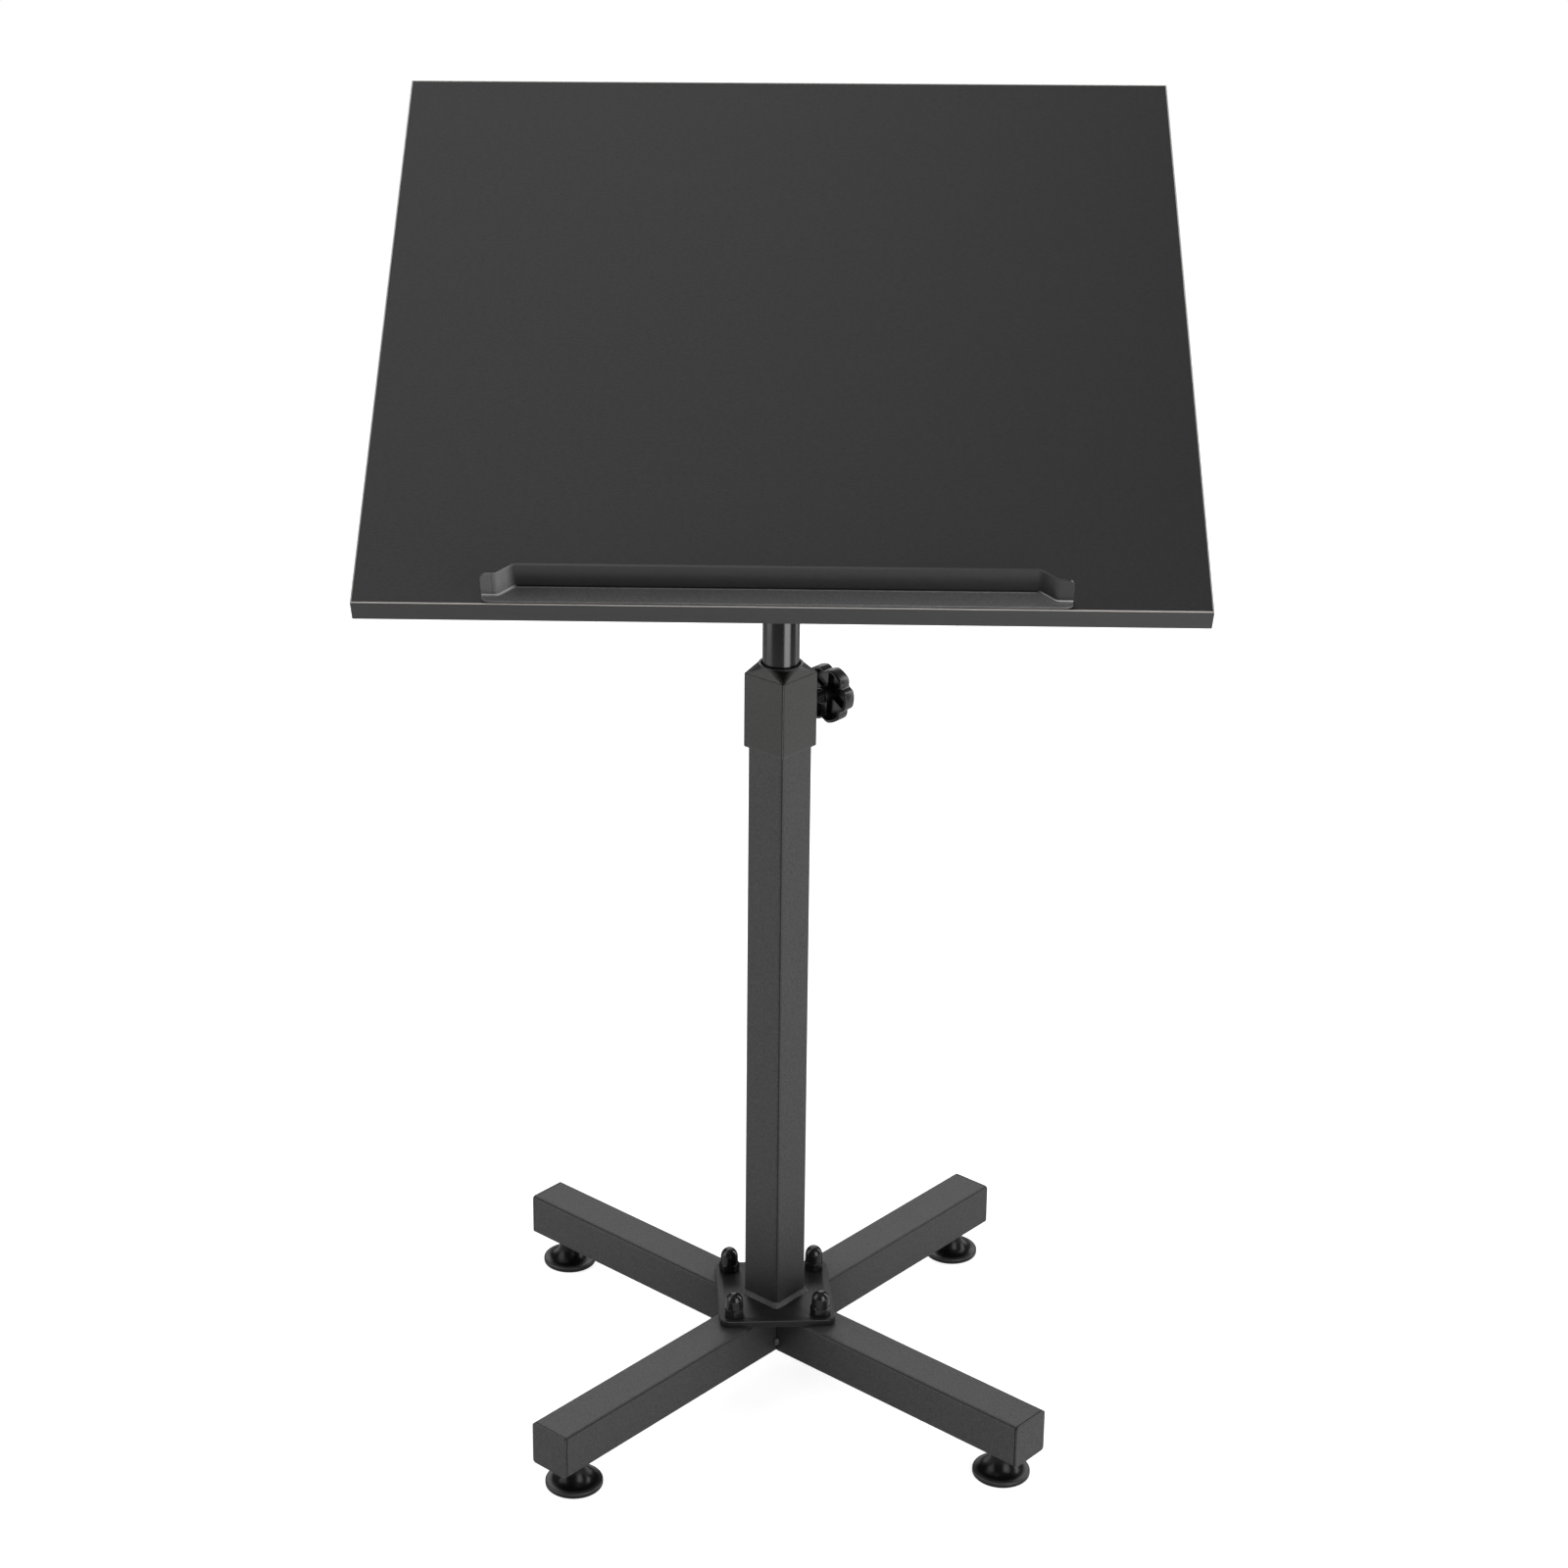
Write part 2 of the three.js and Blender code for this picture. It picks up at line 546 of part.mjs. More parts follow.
/** The mast with its slider, its head and the bolts and knob of the tilt. */
function buildMast() {
  const group = new THREE.Group();
  const seat = CHEEK_OUTSIDE + RUN_GAP;
  const hubStart = seat + WASHER_THICKNESS + RUN_GAP;
  const hole = rod(HOLE_RADIUS, seat - PAST, seat + NUT_HEIGHT + PAST);
  const nut = cut(hexRod(HEX_FLATS, seat, seat + NUT_HEIGHT), hole);
  const washer = cut(rod(WASHER_RADIUS, seat, seat + WASHER_THICKNESS, WIDE_SIDES), hole);
  group.add(
    piece('mast', mast(), satinBlack),
    piece('mast_plug', mastPlug(), guidePlastic),
    piece('mast_slider', mastSlider(), guidePlastic),
    piece('slider_screw', sliderScrew(), zincSteel),
    piece('mast_head', mastHead(), satinBlack),
    piece('pivot_bolt', crossBolt(seat + NUT_HEIGHT + BOLT_END), zincSteel, 0, 0, PIVOT_HEIGHT),
    piece('pivot_nut', alongX(nut), zincSteel, 0, 0, PIVOT_HEIGHT),
    piece('lock_bolt', crossBolt(hubStart + KNOB_GRIP), zincSteel, 0, 0, LOCK_HEIGHT),
    piece('lock_washer', alongX(washer), zincSteel, 0, 0, LOCK_HEIGHT),
    piece('lock_knob', alongX(starKnob(LOCK_KNOB_RADIUS)), glossPlastic, hubStart, 0, LOCK_HEIGHT),
  );
  // The slider is square like the pole's bore, so it is turned with the base.
  group.getObjectByName('mast_slider').rotation.z = baseAngle;
  return group;
}

// ---- Board ---------------------------------------------------------------------------------
// The board's group has its origin on the pivot, +Y up the slope and +Z out of the board's face.

const BOARD_TOP = PIVOT_DROP + BOARD_THICKNESS;
const BOARD_FRONT = -BOARD_DEPTH / 2;
const BRACKET_TOP = PIVOT_DROP - WELD_GAP;
const BRACKET_UNDER = BRACKET_TOP - BRACKET_THICKNESS;
const STOP_BASE = BOARD_TOP + WELD_GAP;

/** The slot that the lock bolt runs in, from the level board to the steepest, drawn as (y, z). */
function lockSlot() {
  const level = degrees(-90);
  const steep = degrees(-90 - TILT_STEEP);
  const end = new THREE.Vector2(Math.cos(steep), Math.sin(steep)).multiplyScalar(LOCK_DROP);
  const slot = new THREE.Path();
  slot.absarc(0, 0, LOCK_DROP + HOLE_RADIUS, steep, level);
  slot.absarc(0, -LOCK_DROP, HOLE_RADIUS, level, level + Math.PI);
  slot.absarc(0, 0, LOCK_DROP - HOLE_RADIUS, level, steep, true);
  slot.absarc(end.x, end.y, HOLE_RADIUS, steep + Math.PI, steep + 2 * Math.PI);
  return slot;
}

/** One side of the bracket: a sector round the pivot, with the pivot's hole and the lock's slot. */
function cheek() {
  const root = BRACKET_UNDER + BRACKET_THICKNESS / 2;
  const rear = degrees(-90 + CHEEK_PAST_SLOT);
  const front = degrees(-90 - TILT_STEEP - CHEEK_PAST_SLOT);
  const side = new THREE.Shape();
  side.moveTo(-CHEEK_FRONT, root);
  side.absarc(0, 0, LOCK_DROP + CHEEK_MARGIN, front, rear);
  side.lineTo(CHEEK_REAR, root);
  side.holes.push(new THREE.Path().absarc(0, 0, HOLE_RADIUS, 0, 2 * Math.PI), lockSlot());
  return uprightAcrossX(prism(side, CHEEK_INSIDE, CHEEK_OUTSIDE, ARC_STEPS));
}

/** Where the four bracket screws are, as [x, y]. */
function screwPlaces() {
  const x = BRACKET_WIDTH / 2 - SCREW_INSET_X;
  const y = BRACKET_DEPTH / 2 - SCREW_INSET_Y;
  return [[-x, -y], [x, -y], [-x, y], [x, y]];
}

/** The bent bracket: a plate under the board with two cheeks astride the mast's head. */
function tiltBracket() {
  const outline = roundedRect(BRACKET_WIDTH, BRACKET_DEPTH, BRACKET_CORNER);
  const plate = prism(outline, BRACKET_UNDER, BRACKET_TOP, ARC_STEPS);
  const left = cheek().translate(-CHEEK_INSIDE - CHEEK_OUTSIDE, 0, 0);
  const hole = rod(SCREW_RADIUS + WELD_GAP, BRACKET_UNDER - PAST, BRACKET_TOP + PAST);
  const holes = screwPlaces().map(([x, y]) => hole.clone().translate(x, y, 0));
  return cut(join(plate, cheek(), left), ...holes);
}

/** A pan-head screw from under the bracket into the board. */
function bracketScrew() {
  const seat = BRACKET_UNDER - WELD_GAP;
  const head = rod(SCREW_HEAD, seat - SCREW_HEAD_HEIGHT, seat);
  return join(head, rod(SCREW_RADIUS, seat - PAST, PIVOT_DROP + SCREW_BITE));
}

/** Where the book stop's two studs are, as [x, y]. */
function studPlaces() {
  const y = BOARD_FRONT + STOP_STUD_SETBACK;
  return [-1, 1].map((side) => [STOP_SHIFT + side * STOP_STUD_SPREAD / 2, y]);
}

/** The board's core, drilled for the bracket's screws and the stop's studs. */
function board() {
  const edge = BAND_THICKNESS + WELD_GAP;
  const x = BOARD_WIDTH / 2 - edge;
  const y = BOARD_DEPTH / 2 - edge;
  const screwHole = rod(SCREW_RADIUS + WELD_GAP, PIVOT_DROP - PAST, PIVOT_DROP + SCREW_BITE + WELD_GAP);
  const studHole = rod(STOP_STUD_RADIUS + WELD_GAP, PIVOT_DROP - PAST, BOARD_TOP + PAST);
  const drills = [
    ...screwPlaces().map((place) => screwHole.clone().translate(...place, 0)),
    ...studPlaces().map((place) => studHole.clone().translate(...place, 0)),
  ];
  return cut(prism(rect(-x, -y, x, y), PIVOT_DROP, BOARD_TOP), ...drills);
}

/** Distance from the board's front edge to the stop's back face, at a distance from its middle. */
function stopBack(x) {
  const along = THREE.MathUtils.clamp((Math.abs(x) - STOP_STRAIGHT / 2) / STOP_JOG, 0, 1);
  const blend = (1 - Math.cos(along * Math.PI)) / 2;
  return THREE.MathUtils.lerp(STOP_SETBACK, STOP_WING_SETBACK, blend);
}

/** The places along the stop where its plan bends. */
function stopStations() {
  const right = [];
  for (let step = 0; step <= ARC_STEPS; step += 1) {
    right.push(STOP_STRAIGHT / 2 + step / ARC_STEPS * STOP_JOG);
  }
  right.push(STOP_LENGTH / 2);
  return [...right.map((x) => -x).reverse(), ...right];
}

/** A cutter that rounds the stop's upper corner at one end. */
function stopCornerCutter(side) {
  const x = STOP_LENGTH / 2 - STOP_CORNER;
  const z = STOP_BASE + STOP_HEIGHT - STOP_CORNER;
  const shape = new THREE.Shape();
  shape.moveTo(side * x, z + STOP_CORNER);
  shape.absarc(side * x, z, STOP_CORNER, Math.PI / 2, side > 0 ? 0 : Math.PI, side > 0);
  shape.lineTo(side * (x + 2 * STOP_CORNER), z);
  shape.lineTo(side * (x + 2 * STOP_CORNER), z + 2 * STOP_CORNER);
  shape.lineTo(side * x, z + 2 * STOP_CORNER);
  const depth = STOP_SETBACK + STOP_SHEET;
  return prism(shape, -depth, depth, ARC_STEPS).rotateX(Math.PI / 2).translate(0, BOARD_FRONT, 0);
}

/** The book stop: a sheet with its foot on the board and a lip whose ends jog forward. */
function bookStop() {
  const stations = stopStations();
  const at = (x, setback) => new THREE.Vector2(x, BOARD_FRONT + setback);
  const back = stations.map((x) => at(x, stopBack(x))).reverse();
  const lipFront = stations.map((x) => at(x, stopBack(x) - STOP_SHEET));
  const footFront = [-1, 1].map((side) => at(side * STOP_LENGTH / 2, STOP_FOOT_SETBACK));
  const foot = prism(new THREE.Shape([...footFront, ...back]), STOP_BASE, STOP_BASE + STOP_SHEET);
  const lip = prism(new THREE.Shape([...lipFront, ...back]), STOP_BASE, STOP_BASE + STOP_HEIGHT);
  return cut(join(foot, lip), stopCornerCutter(-1), stopCornerCutter(1)).translate(STOP_SHIFT, 0, 0);
}

/** The four strips that cover the core's edges. */
function edgeBands() {
  const x = BOARD_WIDTH / 2;
  const y = BOARD_DEPTH / 2;
  const sideEnd = y - BAND_THICKNESS - WELD_GAP;
  const strips = {
    edge_band_front: [-x, -y, x, -y + BAND_THICKNESS],
    edge_band_rear: [-x, y - BAND_THICKNESS, x, y],
    edge_band_left: [-x, -sideEnd, -x + BAND_THICKNESS, sideEnd],
    edge_band_right: [x - BAND_THICKNESS, -sideEnd, x, sideEnd],
  };
  const strip = (sides) => prism(rect(...sides), PIVOT_DROP, BOARD_TOP);
  return Object.entries(strips).map(([name, sides]) => piece(name, strip(sides), edgeBand));
}

/** The board with its bracket and its book stop. */
function buildBoard() {
  const group = new THREE.Group();
  group.position.z = PIVOT_HEIGHT;
  group.rotation.x = degrees(TILT);
  const nutTop = PIVOT_DROP - WELD_GAP;
  const nutLow = nutTop - STOP_NUT_HEIGHT;
  const nut = cut(hexRod(STOP_NUT_FLATS, nutLow, nutTop), rod(STOP_STUD_RADIUS + WELD_GAP, 0, PIVOT_DROP));
  const stud = rod(STOP_STUD_RADIUS, nutLow - STOP_STUD_END, BOARD_TOP);
  group.add(
    piece('tilt_bracket', tiltBracket(), satinBlack),
    piece('board', board(), laminate),
    piece('book_stop', bookStop(), powderCoat),
    ...edgeBands(),
  );
  const corners = ['front_left', 'front_right', 'rear_left', 'rear_right'];
  screwPlaces().forEach((place, index) => {
    group.add(piece(`bracket_screw_${corners[index]}`, bracketScrew(), zincSteel, ...place));
  });
  studPlaces().forEach((place, index) => {
    const side = index ? 'right' : 'left';
    group.add(piece(`stop_stud_${side}`, stud, zincSteel, ...place));
    group.add(piece(`stop_nut_${side}`, nut, zincSteel, ...place));
  });
  return group;
}

// ---- Assembly ------------------------------------------------------------------------------

const baseAngle = degrees(45 + BASE_TURN);
const base = buildBase();
const column = buildPole();
base.rotation.z = baseAngle;
column.rotation.z = baseAngle;

const stand = new THREE.Group();
stand.add(base, column, buildMast(), buildBoard());

// The origin is on the floor, under the middle of the whole stand's outline.
stand.updateMatrixWorld(true);
const outline = new THREE.Box3().setFromObject(stand, true);
stand.position.x = -(outline.min.x + outline.max.x) / 2;
stand.position.y = -(outline.min.y + outline.max.y) / 2;

export default stand;
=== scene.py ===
"""Visual model of a height-adjustable music stand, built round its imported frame.

Lengths are metres. A piece is worked out in its own frame, from the sizes of the frame's nodes
there, and its place is then put into its mesh. A bare number in mm() is a length in millimetres.
"""

import json
import math

import bmesh
import bpy
import numpy as np
from bpy.props import FloatProperty, FloatVectorProperty, PointerProperty
from mathutils import Matrix, Vector

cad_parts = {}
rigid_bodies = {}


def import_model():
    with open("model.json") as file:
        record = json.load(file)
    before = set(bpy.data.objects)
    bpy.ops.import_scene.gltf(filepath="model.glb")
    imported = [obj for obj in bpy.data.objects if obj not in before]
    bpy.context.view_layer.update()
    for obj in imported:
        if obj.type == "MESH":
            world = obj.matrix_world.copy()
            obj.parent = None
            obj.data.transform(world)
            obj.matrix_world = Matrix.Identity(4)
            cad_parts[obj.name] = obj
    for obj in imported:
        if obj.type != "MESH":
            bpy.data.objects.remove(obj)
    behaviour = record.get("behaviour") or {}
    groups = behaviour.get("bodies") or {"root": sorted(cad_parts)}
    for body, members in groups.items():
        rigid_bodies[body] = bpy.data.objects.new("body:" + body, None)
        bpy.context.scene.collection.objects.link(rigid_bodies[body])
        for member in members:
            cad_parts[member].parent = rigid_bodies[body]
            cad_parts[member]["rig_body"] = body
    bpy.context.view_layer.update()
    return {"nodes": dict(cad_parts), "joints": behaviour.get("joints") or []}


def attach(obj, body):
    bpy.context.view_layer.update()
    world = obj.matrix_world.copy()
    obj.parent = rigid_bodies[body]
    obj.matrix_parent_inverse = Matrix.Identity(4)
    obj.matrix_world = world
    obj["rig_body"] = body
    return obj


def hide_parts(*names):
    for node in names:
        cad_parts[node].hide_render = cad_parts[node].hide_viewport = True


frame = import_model()

bl_info = {
    "name": "Music stand",
    "version": (1, 0, 0),
    "blender": (4, 5, 0),
    "location": "3D View > Sidebar > Music stand",
    "description": "Builds the visible pieces of a height-adjustable music stand over its frame",
    "category": "Object",
}

CORNERS = ("rear_right", "rear_left", "front_left", "front_right")
SIDES = ("left", "right")
MERGE_DISTANCE = 2e-6
COARSE, FINE = 48, 96       # columns of a small and of a large round piece


def mm(value):
    """Millimetres as metres."""
    return np.asarray(value) / 1000 if np.ndim(value) else value / 1000


def grey(level, warmth=0, violet=0):
    """A display grey from 0 to 255 as linear light; warmth adds to red and takes from blue, and
    violet takes from green."""
    display = np.array([level + warmth, level - violet, level - warmth]) / 255
    return tuple(np.where(display > 0.04045, ((display + 0.055) / 1.055) ** 2.4, display / 12.92))


# ---- Places ---------------------------------------------------------------------------------

def shift(x=0, y=0, z=0):
    """A move."""
    return Matrix.Translation((x, y, z))


def turn(angle, axis="Z"):
    """A turn by radians about an axis."""
    return Matrix.Rotation(angle, 4, axis)


JOINTS = {joint["name"]: joint for joint in frame["joints"]}
SLOPE = -math.radians(JOINTS["tilt"]["range_deg"][0])
CLAMP_AXIS = JOINTS["clamp_travel"]["axis"]
BASE_TURN = math.atan2(CLAMP_AXIS[1], CLAMP_AXIS[0])
PIVOT = Vector(JOINTS["tilt"]["pos_m"])

ALONG_X = turn(math.pi / 2, "Y")                        # lays Z along X
COLUMN = shift(PIVOT.x, PIVOT.y)                        # on the mast's axis, at the floor
BASE = COLUMN @ turn(BASE_TURN)                         # +X runs along the rear right leg
LEGS = {corner: BASE @ turn(quarter * math.pi / 2) for quarter, corner in enumerate(CORNERS)}
BOARD = Matrix.Translation(PIVOT) @ turn(SLOPE, "X")    # on the pivot, +Y up the slope
# Draws (x, y) as (Y, Z).
UPRIGHT = Matrix(((0, 0, 1, 0), (1, 0, 0, 0), (0, 1, 0, 0), (0, 0, 0, 1)))


def moved(points, place):
    """Points through a place: its turn times each point, plus its offset."""
    matrix = np.array(place)
    return points @ matrix[:3, :3].T + matrix[:3, 3]


def span(node, place):
    """A frame node's lowest and highest corner in a piece's own frame."""
    mesh = frame["nodes"][node].data
    points = np.empty(len(mesh.vertices) * 3, np.float32)
    mesh.vertices.foreach_get("co", points)
    local = moved(points.reshape(-1, 3).astype(float), place.inverted())
    return Vector(local.min(axis=0)), Vector(local.max(axis=0))


LEG_LOW, LEG_HIGH = span("base_rear_left_tube", LEGS["rear_left"])
CAP_LOW, CAP_HIGH = span("leg_cap_rear_right", BASE)
PAD_LOW, PAD_HIGH = span("glide_pad_rear_right", BASE)
STUD_LOW, STUD_HIGH = span("glide_stud_rear_right", BASE)
PLATE_LOW, PLATE_HIGH = span("base_plate", BASE @ turn(math.pi / 4))
BOLT_LOW, BOLT_HIGH = span("base_bolt_rear_right", BASE)
ACORN_HIGH = span("acorn_nut_rear_right", BASE)[1]
POLE_LOW, POLE_HIGH = span("pole", BASE)
COLLAR_LOW, COLLAR_HIGH = span("collar", BASE)
BUSH_HIGH = span("guide_bush", BASE)[1]
SCREW_LOW, SCREW_HIGH = span("clamp_screw", BASE)
KNOB_LOW, KNOB_HIGH = span("clamp_knob", BASE)
MAST_LOW, MAST_HIGH = span("mast", COLUMN)
HEAD_LOW, HEAD_HIGH = span("mast_head", COLUMN)
PIVOT_BOLT_LOW, PIVOT_BOLT_HIGH = span("pivot_bolt", COLUMN)
PIVOT_NUT_LOW, PIVOT_NUT_HIGH = span("pivot_nut", COLUMN)
LOCK_BOLT_LOW, LOCK_BOLT_HIGH = span("lock_bolt", COLUMN)
WASHER_LOW, WASHER_HIGH = span("lock_washer", COLUMN)
LOCK_KNOB_LOW, LOCK_KNOB_HIGH = span("lock_knob", COLUMN)
BRACKET_LOW, BRACKET_HIGH = span("tilt_bracket", BOARD)
CORE_HIGH = span("board", BOARD)[1]
BAND_LOW, BAND_HIGH = span("edge_band_front", BOARD)
STOP_LOW, STOP_HIGH = span("book_stop", BOARD)
PAN_LOW, PAN_HIGH = span("bracket_screw_rear_right", BOARD)
STOP_STUD_LOW, STOP_STUD_HIGH = span("stop_stud_right", BOARD)
STOP_NUT_LOW, STOP_NUT_HIGH = span("stop_nut_right", BOARD)


# ---- Settings -------------------------------------------------------------------------------

def length(name, description, default):
    """A length that a user can change."""
    return FloatProperty(name=name, description=description, default=default, min=0, precision=5,
                         unit="LENGTH")


def angle(name, description, default):
    """An angle that a user can change, given in degrees."""
    return FloatProperty(name=name, description=description, default=math.radians(default),
                         unit="ROTATION")


def amount(name, description, default, most=1.0):
    """A plain number from nothing to the most it may be."""
    return FloatProperty(name=name, description=description, default=default, min=0, max=most,
                         precision=4, subtype="FACTOR")


def colour(name, description, default):
    """A colour that a user can change."""
    return FloatVectorProperty(name=name, description=description, default=default, min=0, max=1,
                               size=3, subtype="COLOR")


class BaseSettings(bpy.types.PropertyGroup):
    """Sizes of the cross base."""
    wall: length("Tube wall", "Wall of the square tubes", mm(1.2))
    corner: length("Tube corner", "Outer corner radius of the square tubes", mm(2.5))
    cap_edge: length("Cap edge", "Rounding of the end caps", mm(0.45))
    tack: length("Tack weld", "Radius of the tack welds between the legs", mm(2.3))
    plate_corner: length("Plate corner", "Corner radius of the base plate", mm(7))
    plate_edge: length("Plate edge", "Rounding of the base plate's edges", mm(0.8))
    nut_flats: length("Nut flats", "Width across the flats of the domed nuts and bolts", mm(13))
    nut_hexagon: length("Nut hexagon", "Height of a domed nut's hexagon", mm(6.5))
    nut_dome: length("Nut dome", "Radius of a domed nut's dome at its root", mm(6.35))
    pad_rim: length("Pad rim", "Height of a foot's rim", mm(4.0))
    pad_edge: length("Pad edge", "Rounding of a foot's rim", mm(1.2))
    pad_neck: length("Pad neck", "Radius of a foot's neck", mm(7.4))
    pad_floor: length("Pad floor", "Thickness of a foot under its thread", mm(5))


class ColumnSettings(bpy.types.PropertyGroup):
    """Sizes of the pole, the collar, the mast and the clamp."""
    weld: length("Foot weld", "Leg of the fillet weld round the pole's foot", mm(2.7))
    collar_corner: length("Collar corner", "Corner radius of the collar's sleeve", mm(1.6))
    collar_edge: length("Collar edge", "Rounding of the collar's edges", mm(0.5))
    collar_rim: length("Collar rim", "Radius of the collar's lip", mm(15.6))
    collar_bore: length("Collar bore", "Radius of the collar's bore", mm(13.7))
    collar_cone: length("Collar cone", "Height from the collar's shoulder to its lip", mm(6.4))
    collar_lip: length("Collar lip", "Height of the collar's straight lip", mm(0.8))
    mast_wall: length("Mast wall", "Wall of the round mast", mm(1.5))
    knob_radius: length("Knob radius", "Radius of the clamp's knob", mm(20.5))
    lock_knob_radius: length("Lock knob radius", "Radius of the tilt lock's knob", mm(17))
    lobe_depth: length("Lobe depth", "Depth of the valleys between a knob's lobes", mm(2.7))
    knob_edge: length("Knob edge", "Rounding of a knob's outer edge", mm(1.8))
    knob_wall: length("Knob wall", "Wall of the hollow knob", mm(2.0))
    knob_turn: angle("Knob turn", "Turn of the knobs' first valley", 3)
    knob_dish: length("Knob dish", "Depth of the knob's hollow", mm(8))
    hub: length("Hub", "Radius of a knob's hub", mm(5.8))
    hub_length: length("Hub length", "How far a knob's hub stands out of its star", mm(3))
    thread: length("Thread", "Radius of the large threads", mm(4))
    pitch: length("Pitch", "Pitch of the large threads", mm(1.25))


class BoardSettings(bpy.types.PropertyGroup):
    """Sizes of the board, the book stop and the tilt bracket."""
    arris: length("Arris", "Rounding of the board's edges", mm(0.35))
    sheet: length("Stop sheet", "Sheet of the book stop", mm(1.5))
    bend: length("Stop bend", "Radius of the stop's bend at mid-sheet", mm(1.4))
    straight: length("Straight", "Length of the stop's set-back middle", mm(314))
    jog: length("Joggle", "Length of each joggle", mm(14))
    setback: length("Setback", "Board edge to the back of the stop's middle", mm(14))
    wing_setback: length("Wing setback", "Board edge to the back of the stop's ends", mm(6.4))
    tip: length("Tip radius", "Radius of the stop's upper corners", mm(5))
    bracket_sheet: length("Bracket sheet", "Sheet of the tilt bracket", mm(2.5))
    bracket_corner: length("Bracket corner", "Corner radius of the tilt bracket", mm(8))
    cheek_inside: length("Cheek gap", "Half the gap between the bracket's cheeks", mm(10.3))
    lock_radius: length("Lock radius", "Pivot to the lock bolt", mm(28))
    slot_half: length("Slot", "Half the width of the lock's slot", mm(4.3))
    steep: angle("Steepest", "The steepest slope that the slot allows", 60)


class FinishSettings(bpy.types.PropertyGroup):
    """Colours of the finishes."""
    powder: colour("Powder coat", "Legs and pole", grey(74, 0, 1.2))
    stop: colour("Stop coat", "Book stop", grey(44))
    # A painted highlight along the bend at the book stop's ends.
    painted_bend_highlight: colour("Stop line", "Bare line along the bend at the book stop's ends", grey(200))
    # The foot's paler colour is painted light.
    stop_foot_painted_light: colour("Stop foot", "Foot of the book stop", grey(121))
    gloss: colour("Gloss paint", "Domed nuts", grey(30))
    plate: colour("Half-gloss paint", "Base plate", grey(36))
    satin: colour("Satin black", "Mast, head and bracket", grey(22))
    collar: colour("Collar", "Moulded collar", grey(66, 1))
    knob: colour("Gloss plastic", "Knobs and feet", grey(13))
    guide: colour("Nylon", "Guides inside the pole", grey(212, 4))
    zinc: colour("Zinc", "Screws, bolts and nuts", grey(176, 1))
    black: colour("Black steel", "Screw of the clamp", grey(38))
    brass: colour("Brass", "Pad of the clamp", grey(170, 40))
    laminate: colour("Laminate", "Board", grey(36))
    grain: colour("Grain", "Pores and streaks of the board's grain", grey(30))
    band: colour("Edge strip", "Strips round the board", grey(64))
    cut_edge: colour("Strip's cut edge", "Pale upper arris of the strips", grey(205, 4))


class StageSettings(bpy.types.PropertyGroup):
    """The camera's place, the floor and the light."""
    camera_right: length("Camera right", "Camera to the right of the mast", mm(6.75))
    camera_away: length("Camera away", "Camera in front of the mast", mm(2091.6))
    camera_height: length("Camera height", "Camera above the floor", mm(1328.5))
    camera_down: angle("Camera down", "How far the camera looks down", math.degrees(0.347))
    camera_left: angle("Camera left", "How far the camera looks to the left", math.degrees(0.034))
    lens: FloatProperty(name="Lens", description="Focal length for a 36 mm sensor, in millimetres",
                        default=75.555, min=1)
    shift_x: FloatProperty(name="Shift X", description="The lens's shift to the right",
                           default=0.0625)
    shift_y: FloatProperty(name="Shift Y", description="The lens's shift upwards", default=-0.1)
    floor: colour("Floor", "Colour of the floor", grey(226))
    pool: length("Pool", "Reach of the floor's white middle in glossy reflections", 1.5)
    sheen: amount("Sheen", "How bright the floor's middle is in glossy reflections", 0.15)
    ambient: amount("Ambient", "Light that comes from all round", 0.01)
    backdrop: amount("Backdrop", "How bright the backdrop is in glossy reflections", 0.1)
    key: amount("Key", "Power of the front right light, in watts", 9.3, 500)
    right: amount("Right", "Power of the light on the right, in watts", 8, 500)
    left: amount("Left", "Power of the light on the left, in watts", 10, 500)
    back: amount("Back", "Power of the light behind, in watts", 17.2, 500)
    overhead: amount("Overhead", "Power of the light overhead, in watts", 15.5, 500)
    front: amount("Front", "Power of the light above the camera's side, in watts", 3, 500)


class MusicStandSettings(bpy.types.PropertyGroup):
    """All settings of the music stand."""
    base: PointerProperty(type=BaseSettings)
    column: PointerProperty(type=ColumnSettings)
    board: PointerProperty(type=BoardSettings)
    finish: PointerProperty(type=FinishSettings)
    stage: PointerProperty(type=StageSettings)


# ---- Surfaces -------------------------------------------------------------------------------

def grid(points, close_rows=False, close_columns=False):
    """A patch of quads over a (rows, columns, 3) array: the quad at (r, c) joins the points
    (r, c), (r, c + 1), (r + 1, c + 1) and (r + 1, c), and point (r, c) is number
    r * columns + c."""
    rows, columns = points.shape[:2]
    row = np.arange(rows if close_rows else rows - 1)[:, None]
    column = np.arange(columns if close_columns else columns - 1)[None, :]
    next_row, next_column = (row + 1) % rows, (column + 1) % columns
    quads = np.stack([row * columns + column, row * columns + next_column,
                      next_row * columns + next_column, next_row * columns + column], axis=-1)
    return points.reshape(-1, 3), quads.reshape(-1, 4).tolist()


def circle(columns):
    """Even angles round a circle."""
    return np.linspace(0, 2 * math.pi, columns, endpoint=False)


def as_rows(value):
    """A number or a list of numbers as a column of rows; a two-way array as it is."""
    value = np.asarray(value, float)
    return value if value.ndim == 2 else value.reshape(-1, 1)


def revolved(*blocks, columns=COARSE, ring=False):
    """A surface of revolution. A block is (radius, height), each over rows or over rows and angles;
    a point is (radius cos a, radius sin a, height). A ring's last row joins its first."""
    turned = []
    for radius, height in blocks:
        r, z, a = np.broadcast_arrays(as_rows(radius), as_rows(height), circle(columns)[None, :])
        turned.append(np.stack([r * np.cos(a), r * np.sin(a), z], axis=-1))
    return grid(np.concatenate(turned), close_rows=ring, close_columns=True)


def arc(across, up, radius, start, end, steps=6):
    """Points of an arc in degrees: (across + radius cos a, up + radius sin a)."""
    a = np.radians(np.linspace(start, end, steps + 1))
    return across + radius * np.cos(a), up + radius * np.sin(a)


